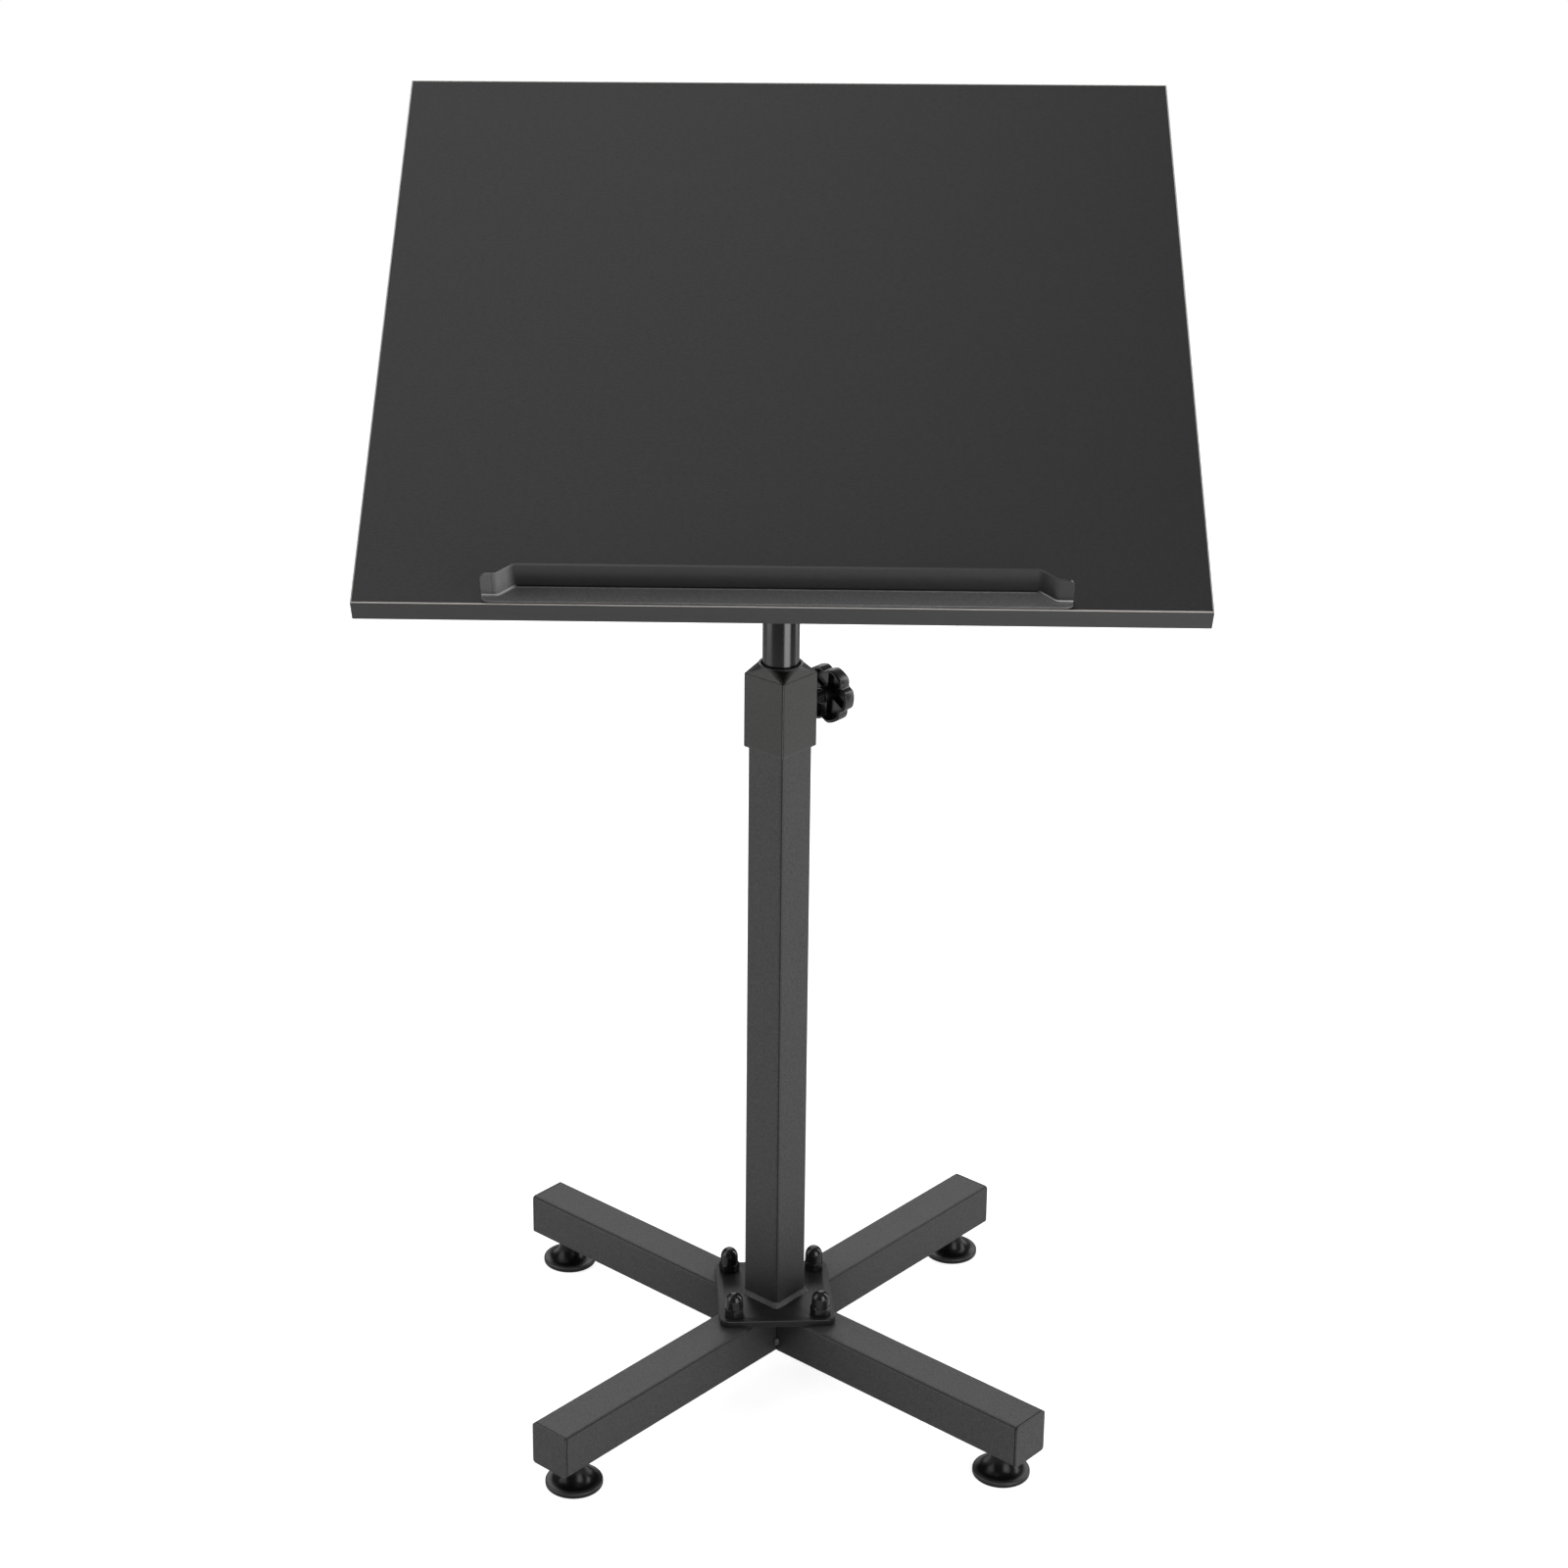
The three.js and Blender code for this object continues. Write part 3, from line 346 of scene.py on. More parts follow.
def rounded_square(width, depth, radius, steps=8, beside=mm(0.35)):
    """Points round a rectangle: corner k is its centre plus radius (cos a, sin a) for a from 90 k
    to 90 (k + 1) degrees, with one more point on the flat beside each end of the arc."""
    start = np.arange(4)[:, None] * math.pi / 2
    a = start + np.linspace(0, math.pi / 2, steps + 1)[None, :]
    middle = start + math.pi / 4
    centre = np.stack([np.sign(np.cos(middle)) * (width / 2 - radius),
                       np.sign(np.sin(middle)) * (depth / 2 - radius)], axis=-1)
    corner = centre + radius * np.stack([np.cos(a), np.sin(a)], axis=-1)
    along = np.stack([-np.sin(a), np.cos(a)], axis=-1) * beside
    points = np.concatenate([corner[:, :1] - along[:, :1], corner, corner[:, -1:] + along[:, -1:]],
                            axis=1)
    return points.reshape(-1, 2)


def stacked(*levels):
    """Rows of outlines, each at its height: (outline, height) pairs with as many points each."""
    return np.stack([np.column_stack([outline, np.full(len(outline), height)])
                     for outline, height in levels])


def hexagon(flats, columns=COARSE):
    """A hexagon's radius at each angle: half the flats over the cosine of the angle to the nearest
    flat's middle."""
    a = circle(columns)
    return (flats / 2 / np.cos((a + math.pi / 6) % (math.pi / 3) - math.pi / 6))[None, :]


CHAMFER_SLOPE = math.tan(math.radians(30))
CHAMFER_CIRCLE = 0.955      # of the width across the flats


def hex_end(flats, height, way, columns=COARSE):
    """Two blocks of a hexagon's end, outermost circle first: a cone of 30 degrees cuts the hexagon
    at height - way (hexagon radius - circle radius) tan 30, which draws the scallops."""
    radius = hexagon(flats, columns)
    face = flats / 2 * CHAMFER_CIRCLE
    return (face, height), (radius, height - way * (radius - face) * CHAMFER_SLOPE)


def thread(radius, low, high, pitch, columns=COARSE, ways=1):
    """A screw thread: radius - depth (1 - cos(2 pi z / pitch - a)) / 2, with its depth run out to
    nothing over the first and last pitch."""
    z = np.linspace(low, high, max(2, int(round((high - low) / pitch * 8)) + 1))[:, None]
    depth = 0.55 * pitch * np.clip(np.minimum(z - low, high - z) / pitch, 0, 1)
    wave = 1 - np.cos(2 * math.pi * z / pitch - ways * circle(columns)[None, :])
    return radius - depth * wave / 2, z


def slab(points, thickness):
    """A sheet round a middle surface: each point goes half the thickness to both sides along the
    normal, which is the cross product of the two grid directions; the rims are closed."""
    normal = np.cross(np.gradient(points, axis=1), np.gradient(points, axis=0))
    normal *= thickness / 2 / np.linalg.norm(normal, axis=-1, keepdims=True)
    upper, lower = points + normal, points - normal
    ends = [grid(np.stack([upper[:, end], lower[:, end]], axis=1)) for end in (0, -1)]
    return [grid(np.concatenate([upper, lower[::-1]]), close_rows=True), *ends]


def flat_sheet(outline, holes, low, high, edge):
    """A flat outline less its holes, filled, from one height to another, with rounded edges."""
    curve = bpy.data.curves.new("sheet", "CURVE")
    curve.dimensions, curve.fill_mode = "2D", "BOTH"
    for loop in (outline, *holes):
        spline = curve.splines.new("POLY")
        spline.points.add(len(loop) - 1)
        flat = np.column_stack([loop, np.zeros(len(loop)), np.ones(len(loop))])
        spline.points.foreach_set("co", flat.ravel())
        spline.use_cyclic_u = True
    curve.extrude = (high - low) / 2 - edge
    curve.bevel_depth, curve.bevel_resolution, curve.offset = edge, 2, -edge
    sheet = bpy.data.objects.new("sheet", curve)
    bpy.context.scene.collection.objects.link(sheet)
    evaluated = sheet.evaluated_get(bpy.context.evaluated_depsgraph_get())
    made = bpy.data.meshes.new_from_object(evaluated)
    points = np.empty(len(made.vertices) * 3, np.float32)
    made.vertices.foreach_get("co", points)
    faces = [list(face.vertices) for face in made.polygons]
    bpy.data.objects.remove(sheet)
    bpy.data.curves.remove(curve)
    bpy.data.meshes.remove(made)
    return points.reshape(-1, 3).astype(float) + (0, 0, (low + high) / 2), faces


def placed(patches, place):
    """Patches taken through a place."""
    return [(moved(points, place), faces) for points, faces in patches]


def make_piece(name, patches, place, finish, slot, *nodes, body=None, edge=0.0, sharp=30):
    """Joins patches into one closed mesh with its place in it, and hands the piece to the frame in
    the stead of the named nodes. An edge rounds all sharp edges; otherwise they stay sharp."""
    first = np.cumsum([0, *(len(points) for points, _ in patches)])
    faces = [[start + corner for corner in face]
             for start, (_, made) in zip(first.tolist(), patches) for face in made]
    mesh = bpy.data.meshes.new(name)
    mesh.from_pydata(np.concatenate([points for points, _ in patches]).tolist(), [], faces)
    shell = bmesh.new()
    shell.from_mesh(mesh)
    bmesh.ops.remove_doubles(shell, verts=shell.verts, dist=MERGE_DISTANCE)
    bmesh.ops.recalc_face_normals(shell, faces=shell.faces)
    shell.to_mesh(mesh)
    shell.free()
    mesh.shade_smooth()
    # The arris value of a point is the middle one of its normal's three sizes along the piece's own
    # axes, and the corner value the smaller one across Z: 0 on a flat, 0.7 half way round a corner.
    normals = np.empty(len(mesh.vertices) * 3, np.float32)
    mesh.vertex_normals.foreach_get("vector", normals)
    arris = np.sort(np.abs(normals.reshape(-1, 3)), axis=1)[:, 1]
    corner = np.abs(normals.reshape(-1, 3))[:, :2].min(axis=1)
    for named, value in (("arris", arris), ("corner", corner)):
        attribute = mesh.attributes.new(named, "FLOAT", "POINT")
        attribute.data.foreach_set("value", np.ascontiguousarray(value))
    mesh.transform(place)
    piece = bpy.data.objects.new(name, mesh)
    bpy.context.scene.collection.objects.link(piece)
    mesh.materials.append(finish)
    if edge:
        bevel = piece.modifiers.new("Rounded edges", "BEVEL")
        bevel.width, bevel.segments = edge, 2
        bevel.limit_method, bevel.angle_limit = "ANGLE", math.radians(sharp)
        bevel.harden_normals = True
    else:
        mesh.set_sharp_from_angle(angle=math.radians(sharp))
    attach(piece, body or frame["nodes"][nodes[0]]["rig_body"])
    if nodes:
        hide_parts(*nodes)
    return piece


# ---- Shaders --------------------------------------------------------------------------------

class Socket:
    """A node's output that takes part in Python sums; each operator adds one Math node."""

    def __init__(self, shader, socket):
        self.shader, self.socket = shader, socket

    def beside(self, name):
        """Another output of the same node."""
        return Socket(self.shader, self.socket.node.outputs[name])

    def __add__(self, other): return self.shader.math("ADD", self, other)
    def __radd__(self, other): return self.shader.math("ADD", other, self)
    def __sub__(self, other): return self.shader.math("SUBTRACT", self, other)
    def __rsub__(self, other): return self.shader.math("SUBTRACT", other, self)
    def __mul__(self, other): return self.shader.math("MULTIPLY", self, other)
    def __rmul__(self, other): return self.shader.math("MULTIPLY", other, self)
    def __truediv__(self, other): return self.shader.math("DIVIDE", self, other)
    def __rtruediv__(self, other): return self.shader.math("DIVIDE", other, self)

    def clipped(self):
        """The value kept between 0 and 1."""
        return self.shader.math("ADD", self, 0.0, clamp=True)


class Shader:
    """A node tree with one method that adds any node."""

    def __init__(self, tree):
        self.tree = tree
        tree.nodes.clear()

    def add(self, kind, settings=None, inputs=None, output=0):
        """Adds a node of a type: its settings are set first, then its sockets, by number, name or
        identifier, from values or links. Returns one of its outputs."""
        node = self.tree.nodes.new(kind)
        for key, value in (settings or {}).items():
            setattr(node, key, value)
        by_identifier = {socket.identifier: socket for socket in node.inputs}
        for key, value in (inputs or {}).items():
            socket = by_identifier.get(key) or node.inputs[key]
            if isinstance(value, Socket):
                self.tree.links.new(value.socket, socket)
            else:
                socket.default_value = value
        if not node.outputs:
            return None
        named = {socket.identifier: socket for socket in node.outputs}
        return Socket(self, named.get(output) or node.outputs[output])

    def math(self, operation, first, second, clamp=False):
        """One Math node."""
        return self.add("ShaderNodeMath", {"operation": operation, "use_clamp": clamp},
                        {0: first, 1: second})

    def mix(self, factor, first, second):
        """A mix of two colours."""
        return self.add("ShaderNodeMix", {"data_type": "RGBA"},
                        {"Factor_Float": factor, "A_Color": first, "B_Color": second},
                        "Result_Color")

    def tinted(self, shade, value):
        """A colour times a value that lies round 1."""
        grey_value = self.add("ShaderNodeCombineColor", {}, {0: value, 1: value, 2: value})
        return self.add("ShaderNodeMix", {"data_type": "RGBA", "blend_type": "MULTIPLY"},
                        {"Factor_Float": 1.0, "A_Color": (*shade, 1), "B_Color": grey_value},
                        "Result_Color")

    def place(self):
        """The piece's own coordinates, in metres."""
        return self.add("ShaderNodeTexCoord", {}, {}, "Object")

    def scaled(self, vector, size, location=(0, 0, 0), rotation=(0, 0, 0)):
        """Coordinates seen from a place, in units of a size along each of its axes."""
        return self.add("ShaderNodeMapping", {"vector_type": "TEXTURE"},
                        {"Vector": vector, "Location": location, "Rotation": rotation,
                         "Scale": size})

    def noise(self, vector, scale=1.0, detail=2.0, roughness=0.5):
        """Noise between 0 and 1."""
        return self.add("ShaderNodeTexNoise", {}, {"Vector": vector, "Scale": scale,
                                                   "Detail": detail, "Roughness": roughness})

    def bump(self, height, depth):
        """A normal from a height between 0 and 1 that stands for a depth."""
        return self.add("ShaderNodeBump", {},
                        {"Height": height, "Distance": depth, "Strength": 1.0})

    def surface(self, **sockets):
        """The principled shader on the material's output, with sockets named by their words."""
        words = {"base": "Base Color", "roughness": "Roughness", "metallic": "Metallic",
                 "normal": "Normal", "specular": "Specular IOR Level"}
        values = {words[key]: value for key, value in sockets.items()}
        self.add("ShaderNodeOutputMaterial", {},
                 {"Surface": self.add("ShaderNodeBsdfPrincipled", {}, values)})


def textured_coat(shader, shade, painted_shade):
    """Fine-texture powder coat: a close grain of small bumps over a slow mottle. Light and shade
    are painted on it: its arrises are darker by a share, a painted dark reflection, and it is
    darker round the plate, a painted shadow, as exp(-(d / 55 mm) ^ 2) at a distance d from the
    pole's foot."""
    place = shader.place()
    grain = shader.noise(place, 620, 2, 0.6)
    speck = shader.noise(place, 420, 2, 0.5)
    mottle = shader.noise(place, 38, 3, 0.55)
    level = 0.28 + 1.3 * grain + 0.14 * mottle
    # Painted shade: a painted shadow round the pole's foot and a painted dark reflection on the
    # arrises.
    if painted_shade:
        foot = shader.scaled(place, (mm(55), mm(55), mm(55)),
                             location=(PIVOT.x, PIVOT.y, PLATE_HIGH.z))
        away = shader.add("ShaderNodeVectorMath", {"operation": "LENGTH"}, {0: foot}, "Value")
        arris = shader.add("ShaderNodeAttribute", {"attribute_name": "arris"}, {}, "Fac")
        # Painted shadow round the pole's foot, up to three quarters darker.
        level = level * (1 - 0.75 * shader.math("POWER", math.exp(-1), away * away))
        # Painted dark reflection along the arrises.
        level = level * (1 - painted_shade * ((arris - 0.48) * 6).clipped())
    shader.surface(base=shader.tinted(shade, level), roughness=0.42 + 0.16 * speck,
                   normal=shader.bump(grain * 0.6 + speck * 0.4, mm(0.06)), specular=0.42)


def powder_coat(shader, colours):
    """The powder coat of the tubes and their caps, with painted shade on arrises and round the
    plate.
    """
    textured_coat(shader, colours.powder, 0.85)


def weld_coat(shader, colours):
    """The powder coat over the welds, which have no square arrises; it has none of the painted
    shade.
    """
    textured_coat(shader, colours.powder, 0)


def stop_coat(shader, colours):
    """Satin powder coat on the book stop, smoother than the tubes'. Light and shade are painted
    on it: its foot is paler, painted light, and rougher; the inside of its bend is darker, painted
    shade, but for a painted highlight line at both ends; and its left joggle and left end are
    paler, a painted reflection. The middle ends and the joggles start at plus and minus start."""
    place = shader.place()
    local = shader.scaled(place, (1, 1, 1), location=tuple(PIVOT), rotation=(SLOPE, 0, 0))
    height = shader.add("ShaderNodeSeparateXYZ", {}, {0: local}, "Z")
    across = height.beside("X") - (STOP_LOW.x + STOP_HIGH.x) / 2
    start = bpy.context.scene.music_stand.board.straight / 2
    grain = shader.noise(place, 700, 2, 0.5)
    mottle = shader.noise(place, 38, 3, 0.55)
    # Foot mask: the foot takes the paler colour, which is painted light.
    foot = ((CORE_HIGH.z + mm(2.2) - height) / mm(0.5)).clipped()
    # Painted shade inside the bend.
    bend = (1.6 - shader.math("ABSOLUTE", height - (CORE_HIGH.z + mm(3.1)), 0) / mm(0.6)).clipped()
    joggle = (1.6 - shader.math("ABSOLUTE", across + (start + mm(9)), 0) / mm(4.5)).clipped()
    end = ((-(start + mm(15)) - across) / mm(1)).clipped()
    # Painted reflection: the left joggle and the left end are paler.
    painted_reflection = (1 - foot) * (6.5 * joggle + 3 * end)
    level = (0.6 + 0.7 * grain + 0.1 * mottle) * (1 - 0.9 * bend) * (1 + painted_reflection)
    ends = ((shader.math("ABSOLUTE", across, 0) - (start + mm(1))) / mm(3)).clipped()
    base = shader.mix(foot, shader.tinted(colours.stop, level),
                      shader.tinted(colours.stop_foot_painted_light, level))
    # Painted highlight line along the bend at both ends.
    base = shader.mix(bend * ends * (1 - foot), base, (*colours.painted_bend_highlight, 1))
    shader.surface(base=base, roughness=0.3 + 0.1 * grain + 0.15 * foot,
                   normal=shader.bump(grain, mm(0.015)), specular=0.6)


def sprayed(shader, shade, roughness, depth, specular, painted_edge_highlight):
    """Sprayed paint: a slow orange peel and small changes of sheen, and a painted highlight
    along its edges.
    """
    place = shader.place()
    peel = shader.noise(place, 260, 2, 0.5)
    smear = shader.noise(place, 45, 3, 0.6)
    arris = shader.add("ShaderNodeAttribute", {"attribute_name": "arris"}, {}, "Fac")
    corner = shader.add("ShaderNodeAttribute", {"attribute_name": "corner"}, {}, "Fac")
    # Painted highlight along the edges, away from the corners.
    edge = ((arris * (1 - corner) - 0.3) * 4).clipped()
    shader.surface(base=shader.tinted(shade, (0.9 + 0.2 * smear) * (1 + painted_edge_highlight * edge)),
                   roughness=roughness + 0.08 * smear, normal=shader.bump(peel, depth),
                   specular=specular)


def gloss_paint(shader, colours):
    """Gloss paint on the domed nuts."""
    sprayed(shader, colours.gloss, 0.13, mm(0.003), 0.5, 0)


def plate_paint(shader, colours):
    """Half-gloss paint on the base plate, with a painted highlight along its edges."""
    sprayed(shader, colours.plate, 0.36, mm(0.006), 0.25, 5)


def satin_black(shader, colours):
    """Satin black paint on sheet and tube: a soft peel under a thin sheen."""
    place = shader.place()
    peel = shader.noise(place, 700, 2, 0.5)
    smear = shader.noise(place, 30, 3, 0.6)
    shader.surface(base=shader.tinted(colours.satin, 0.88 + 0.24 * smear),
                   roughness=0.17 + 0.05 * smear, normal=shader.bump(peel, mm(0.002)),
                   specular=0.95)


def collar_plastic(shader, colours):
    """Spark-eroded moulded plastic: an even fine grain with faint flow marks. Light and shade are
    painted on it: painted shade beside its corners and along its shoulder, and painted highlights
    down its corners and along its lower edge."""
    place = shader.place()
    erosion = shader.noise(place, 700, 2, 0.6)
    flow = shader.noise(shader.scaled(place, (0.02, 0.02, 0.006)), 1, 3, 0.5)
    corner = shader.add("ShaderNodeAttribute", {"attribute_name": "corner"}, {}, "Fac")
    height = shader.add("ShaderNodeSeparateXYZ", {}, {0: place}, "Z")
    shoulder = COLLAR_HIGH.z - mm(7.4)
    # Painted shade along the shoulder.
    line = (1.4 - shader.math("ABSOLUTE", height - shoulder, 0) / mm(0.5)).clipped()
    # Painted highlight along the lower edge.
    painted_lower_highlight = ((COLLAR_LOW.z + mm(0.9) - height) / mm(0.4)).clipped()
    above = ((height - shoulder) / mm(1)).clipped()
    # Painted highlight down the corners, below the shoulder.
    arris = ((corner - 0.5) * 6).clipped() * (1 - above)
    # Painted shade beside the corners.
    painted_corner_shade = ((corner - 0.22) * 5).clipped() * (1 - arris)
    level = (0.35 + 1.2 * erosion + 0.1 * flow) * (1 - 0.97 * painted_corner_shade) * (1 + 1.5 * arris)
    level = level * (1 - 0.45 * line) * (1 + 0.7 * painted_lower_highlight)
    shader.surface(base=shader.tinted(colours.collar, level), roughness=0.4 + 0.12 * erosion,
                   normal=shader.bump(erosion, mm(0.02)), specular=0.45)


def moulded(shader, colours, roughness, specular, level):
    """Moulded plastic at a level of its colour: nearly even, with slow sink marks and fine haze."""
    place = shader.place()
    sink = shader.noise(place, 90, 2, 0.4)
    haze = shader.noise(place, 300, 4, 0.7)
    shader.surface(base=shader.tinted(colours.knob, (0.9 + 0.2 * sink) * level),
                   roughness=roughness + 0.08 * haze, normal=shader.bump(sink, mm(0.012)),
                   specular=specular)


def gloss_plastic(shader, colours):
    """Polished moulded plastic of the feet, painted paler on their rims, a painted reflection, and
    most along a line, a painted highlight.
    """
    height = shader.add("ShaderNodeSeparateXYZ", {}, {0: shader.place()}, "Z")
    top = bpy.context.scene.music_stand.base.pad_rim
    # Painted reflection on the rim, and a painted highlight line just below its top.
    rim = ((top + mm(0.2) - height) / mm(0.3)).clipped()
    line = (1.5 - shader.math("ABSOLUTE", height - (top - mm(0.5)), 0) / mm(0.5)).clipped()
    moulded(shader, colours, 0.26, 0.3, 1 + 5 * rim + 12 * line)


def knob_plastic(shader, colours):
    """The knobs' plastic, dulled by hands."""
    moulded(shader, colours, 0.25, 0.85, 1)


def guide_plastic(shader, colours):
    """Natural nylon: milky, with machining rings faintly along Z."""
    place = shader.place()
    rings = shader.noise(shader.scaled(place, (0.03, 0.03, 0.0006)), 1, 2, 0.5)
    cloud = shader.noise(place, 60, 3, 0.5)
    shader.surface(base=shader.tinted(colours.guide, 0.92 + 0.1 * cloud),
                   roughness=0.42 + 0.15 * cloud, normal=shader.bump(rings, mm(0.02)),
                   specular=0.45)


def zinc_steel(shader, colours):
    """Bright zinc plating: cloudy colour and roughness with small pits."""
    place = shader.place()
    cloud = shader.noise(place, 220, 4, 0.6)
    pits = shader.noise(place, 1600, 2, 0.6)
    shader.surface(base=shader.tinted(colours.zinc, 0.8 + 0.35 * cloud), metallic=1.0,
                   roughness=0.22 + 0.28 * cloud, normal=shader.bump(pits, mm(0.01)))


def black_steel(shader, colours):
    """Blackened steel: an oily dark skin, cloudy and thinner here and there."""
    place = shader.place()
    cloud = shader.noise(place, 260, 4, 0.6)
    pits = shader.noise(place, 1600, 2, 0.6)
    shader.surface(base=shader.tinted(colours.black, 0.7 + 0.6 * cloud), metallic=0.6,
                   roughness=0.25 + 0.25 * cloud, normal=shader.bump(pits, mm(0.01)))


def brass(shader, colours):
    """Turned brass: fine rings and a dull bloom."""
    place = shader.place()
    rings = shader.noise(shader.scaled(place, (0.0004, 0.0004, 0.02)), 1, 2, 0.5)
    bloom = shader.noise(place, 180, 3, 0.6)
    shader.surface(base=shader.tinted(colours.brass, 0.75 + 0.4 * bloom), metallic=1.0,
                   roughness=0.25 + 0.25 * bloom, normal=shader.bump(rings, mm(0.01)))


def laminate(shader, colours):
    """Black ash laminate: long streaks and short open pores along the board's width, pressed into
    the sheet, under a satin overlay."""
    place = shader.place()
    seen = {"location": tuple(PIVOT), "rotation": (SLOPE, 0, 0)}
    waves = shader.noise(shader.scaled(place, (0.35, 0.03, 0.03), **seen), 1, 3, 0.55)
    streaks = shader.noise(shader.scaled(place, (0.12, 0.0011, 0.0011), **seen), 1, 3, 0.6)
    pores = shader.noise(shader.scaled(place, (0.0045, 0.0005, 0.0005), **seen), 1, 2, 0.5)
    grit = shader.noise(place, 700, 2, 0.6)
    pore = ((pores - 0.5) * 7).clipped()
    streak = ((streaks - 0.35) * 2.4).clipped()
    open_grain = pore * (0.35 + 0.65 * streak)
    level = 0.22 + 0.12 * waves + 0.5 * streaks + grit
    base = shader.mix(open_grain * 0.5, shader.tinted(colours.laminate, level), (*colours.grain, 1))
    shader.surface(base=base, roughness=0.42 + 0.12 * streaks + 0.08 * pore,
                   normal=shader.bump(0.7 - 0.5 * open_grain + 0.3 * grit + 0.2 * streaks,
                                      mm(0.05)), specular=0.4)


def edge_strip(shader, colours):
    """Dark strips round the board: a fine speckle, and the strip's pale cut upper edge."""
    place = shader.place()
    local = shader.scaled(place, (1, 1, 1), location=tuple(PIVOT), rotation=(SLOPE, 0, 0))
    height = shader.add("ShaderNodeSeparateXYZ", {}, {0: local}, "Z")
    speckle = shader.noise(place, 900, 3, 0.7)
    patch = shader.noise(shader.scaled(place, (0.05, 0.004, 0.004)), 1, 3, 0.5)
    level = 0.82 + 0.26 * speckle + 0.1 * patch
    cut = ((height - (BAND_HIGH.z - mm(0.5))) / mm(0.2) + 0.6 * (patch - 0.5)).clipped()
    base = shader.mix(cut, shader.tinted(colours.band, level),
                      shader.tinted(colours.cut_edge, level))
    shader.surface(base=base, roughness=0.42 + 0.16 * speckle,
                   normal=shader.bump(speckle, mm(0.02)), specular=0.45)


FINISHES = {"powder_coat": powder_coat, "weld_coat": weld_coat, "stop_coat": stop_coat,
            "gloss_paint": gloss_paint, "plate_paint": plate_paint, "satin_black": satin_black,
            "collar_plastic": collar_plastic, "gloss_plastic": gloss_plastic,
            "knob_plastic": knob_plastic, "guide_plastic": guide_plastic, "zinc_steel": zinc_steel,
            "black_steel": black_steel, "brass": brass, "laminate": laminate,
            "edge_band": edge_strip}


def finish_of(slot):
    """The material of a slot, made when it is first asked for."""
    name = "finish_" + slot
    made = bpy.data.materials.get(name)
    if made is None:
        made = bpy.data.materials.new(name)
        made.use_nodes = True
        FINISHES[slot](Shader(made.node_tree), bpy.context.scene.music_stand.finish)
    return made


def stand_piece(name, patches, place, slot, *nodes, finish=None, **how):
    """A piece in the finish of its slot, or in another finish."""
    return make_piece(name, patches, place, finish_of(finish or slot), slot, *nodes, **how)


# ---- Base -----------------------------------------------------------------------------------

TUBE = LEG_HIGH.z - LEG_LOW.z
TUBE_MIDDLE = (LEG_HIGH.z + LEG_LOW.z) / 2


def square_tube(low, high, side, wall, corner):
    """A hollow square tube along Z: its outer outline up, its inner outline down, as a closed ring,
    with one more row close to each end."""
    outer = rounded_square(side, side, corner)
    inner = rounded_square(side - 2 * wall, side - 2 * wall, corner - wall)
    near = mm(0.4)
    up = ((outer, low), (outer, low + near), (outer, high - near), (outer, high))
    down = ((inner, high), (inner, high - near), (inner, low + near), (inner, low))
    return [grid(stacked(*up, *down), close_rows=True, close_columns=True)]


def end_cap(side, corner, low, high, edge):
    """A square cap along Z, as rows of outlines from the middle of its face over a rounded edge to
    the middle of its back."""
    inset, height = arc(edge, high - edge, edge, 90, 180, 5)
    face = rounded_square(side, side, corner)

    def smaller(by):
        """The face's outline, moved inwards."""
        return rounded_square(side - 2 * by, side - 2 * by, max(corner - by, mm(0.3)))

    rows = [(face * 0, high), (smaller(mm(2)), high), (smaller(edge + mm(0.4)), high)]
    rows += [(smaller(x), z) for x, z in zip(inset, height)]
    rows += [(face, low + mm(0.3)), (smaller(mm(0.3)), low), (face * 0, low)]
    return [grid(stacked(*rows), close_columns=True)]


def tack_weld(radius):
    """A drop of weld metal: a sphere drawn out along Z whose radius rises and falls by a tenth with
    both angles, r = radius (1 + 0.08 cos(3 a) sin(b) + 0.06 cos(2 a + 1) sin(2 b))."""
    b = np.linspace(0, math.pi, 17)[:, None]
    a = circle(24)[None, :]
    r = radius * (1 + 0.08 * np.cos(3 * a) * np.sin(b) + 0.06 * np.cos(2 * a + 1) * np.sin(2 * b))
    return revolved((r * np.sin(b), 1.25 * r * np.cos(b)), columns=24)


class MUSIC_STAND_OT_leg_tubes(bpy.types.Operator):
    """Builds the through tube, the two half tubes, the end caps and the tack welds of the cross"""
    bl_idname = "music_stand.leg_tubes"
    bl_label = "Leg tubes"

    def execute(self, context):
        sizes = context.scene.music_stand.base
        level = shift(z=TUBE_MIDDLE) @ ALONG_X
        tubes = {"through": (BASE, -LEG_HIGH.x), "rear_left": (LEGS["rear_left"], LEG_LOW.x),
                 "front_right": (LEGS["front_right"], LEG_LOW.x)}
        for name, (place, start) in tubes.items():
            tube = square_tube(start, LEG_HIGH.x, TUBE, sizes.wall, sizes.corner)
            stand_piece(f"{name}_leg_tube", tube, place @ level, "powder_coat", f"base_{name}_tube")
        cap = end_cap(TUBE, sizes.corner, CAP_LOW.x, CAP_HIGH.x, sizes.cap_edge)
        for corner, place in LEGS.items():
            stand_piece(f"end_cap_{corner}", cap, place @ level, "powder_coat", f"leg_cap_{corner}")
        crotch = TUBE / 2 + sizes.tack * 0.4
        beside = shift(crotch, crotch, TUBE_MIDDLE - mm(7))
        tacks = [placed([tack_weld(sizes.tack)], turn(quarter * math.pi / 2) @ beside)
                 for quarter in range(4)]
        stand_piece("crotch_tack_welds", [patch for tack in tacks for patch in tack], BASE,
                    "powder_coat", body="stand", finish="weld_coat")
        return {"FINISHED"}


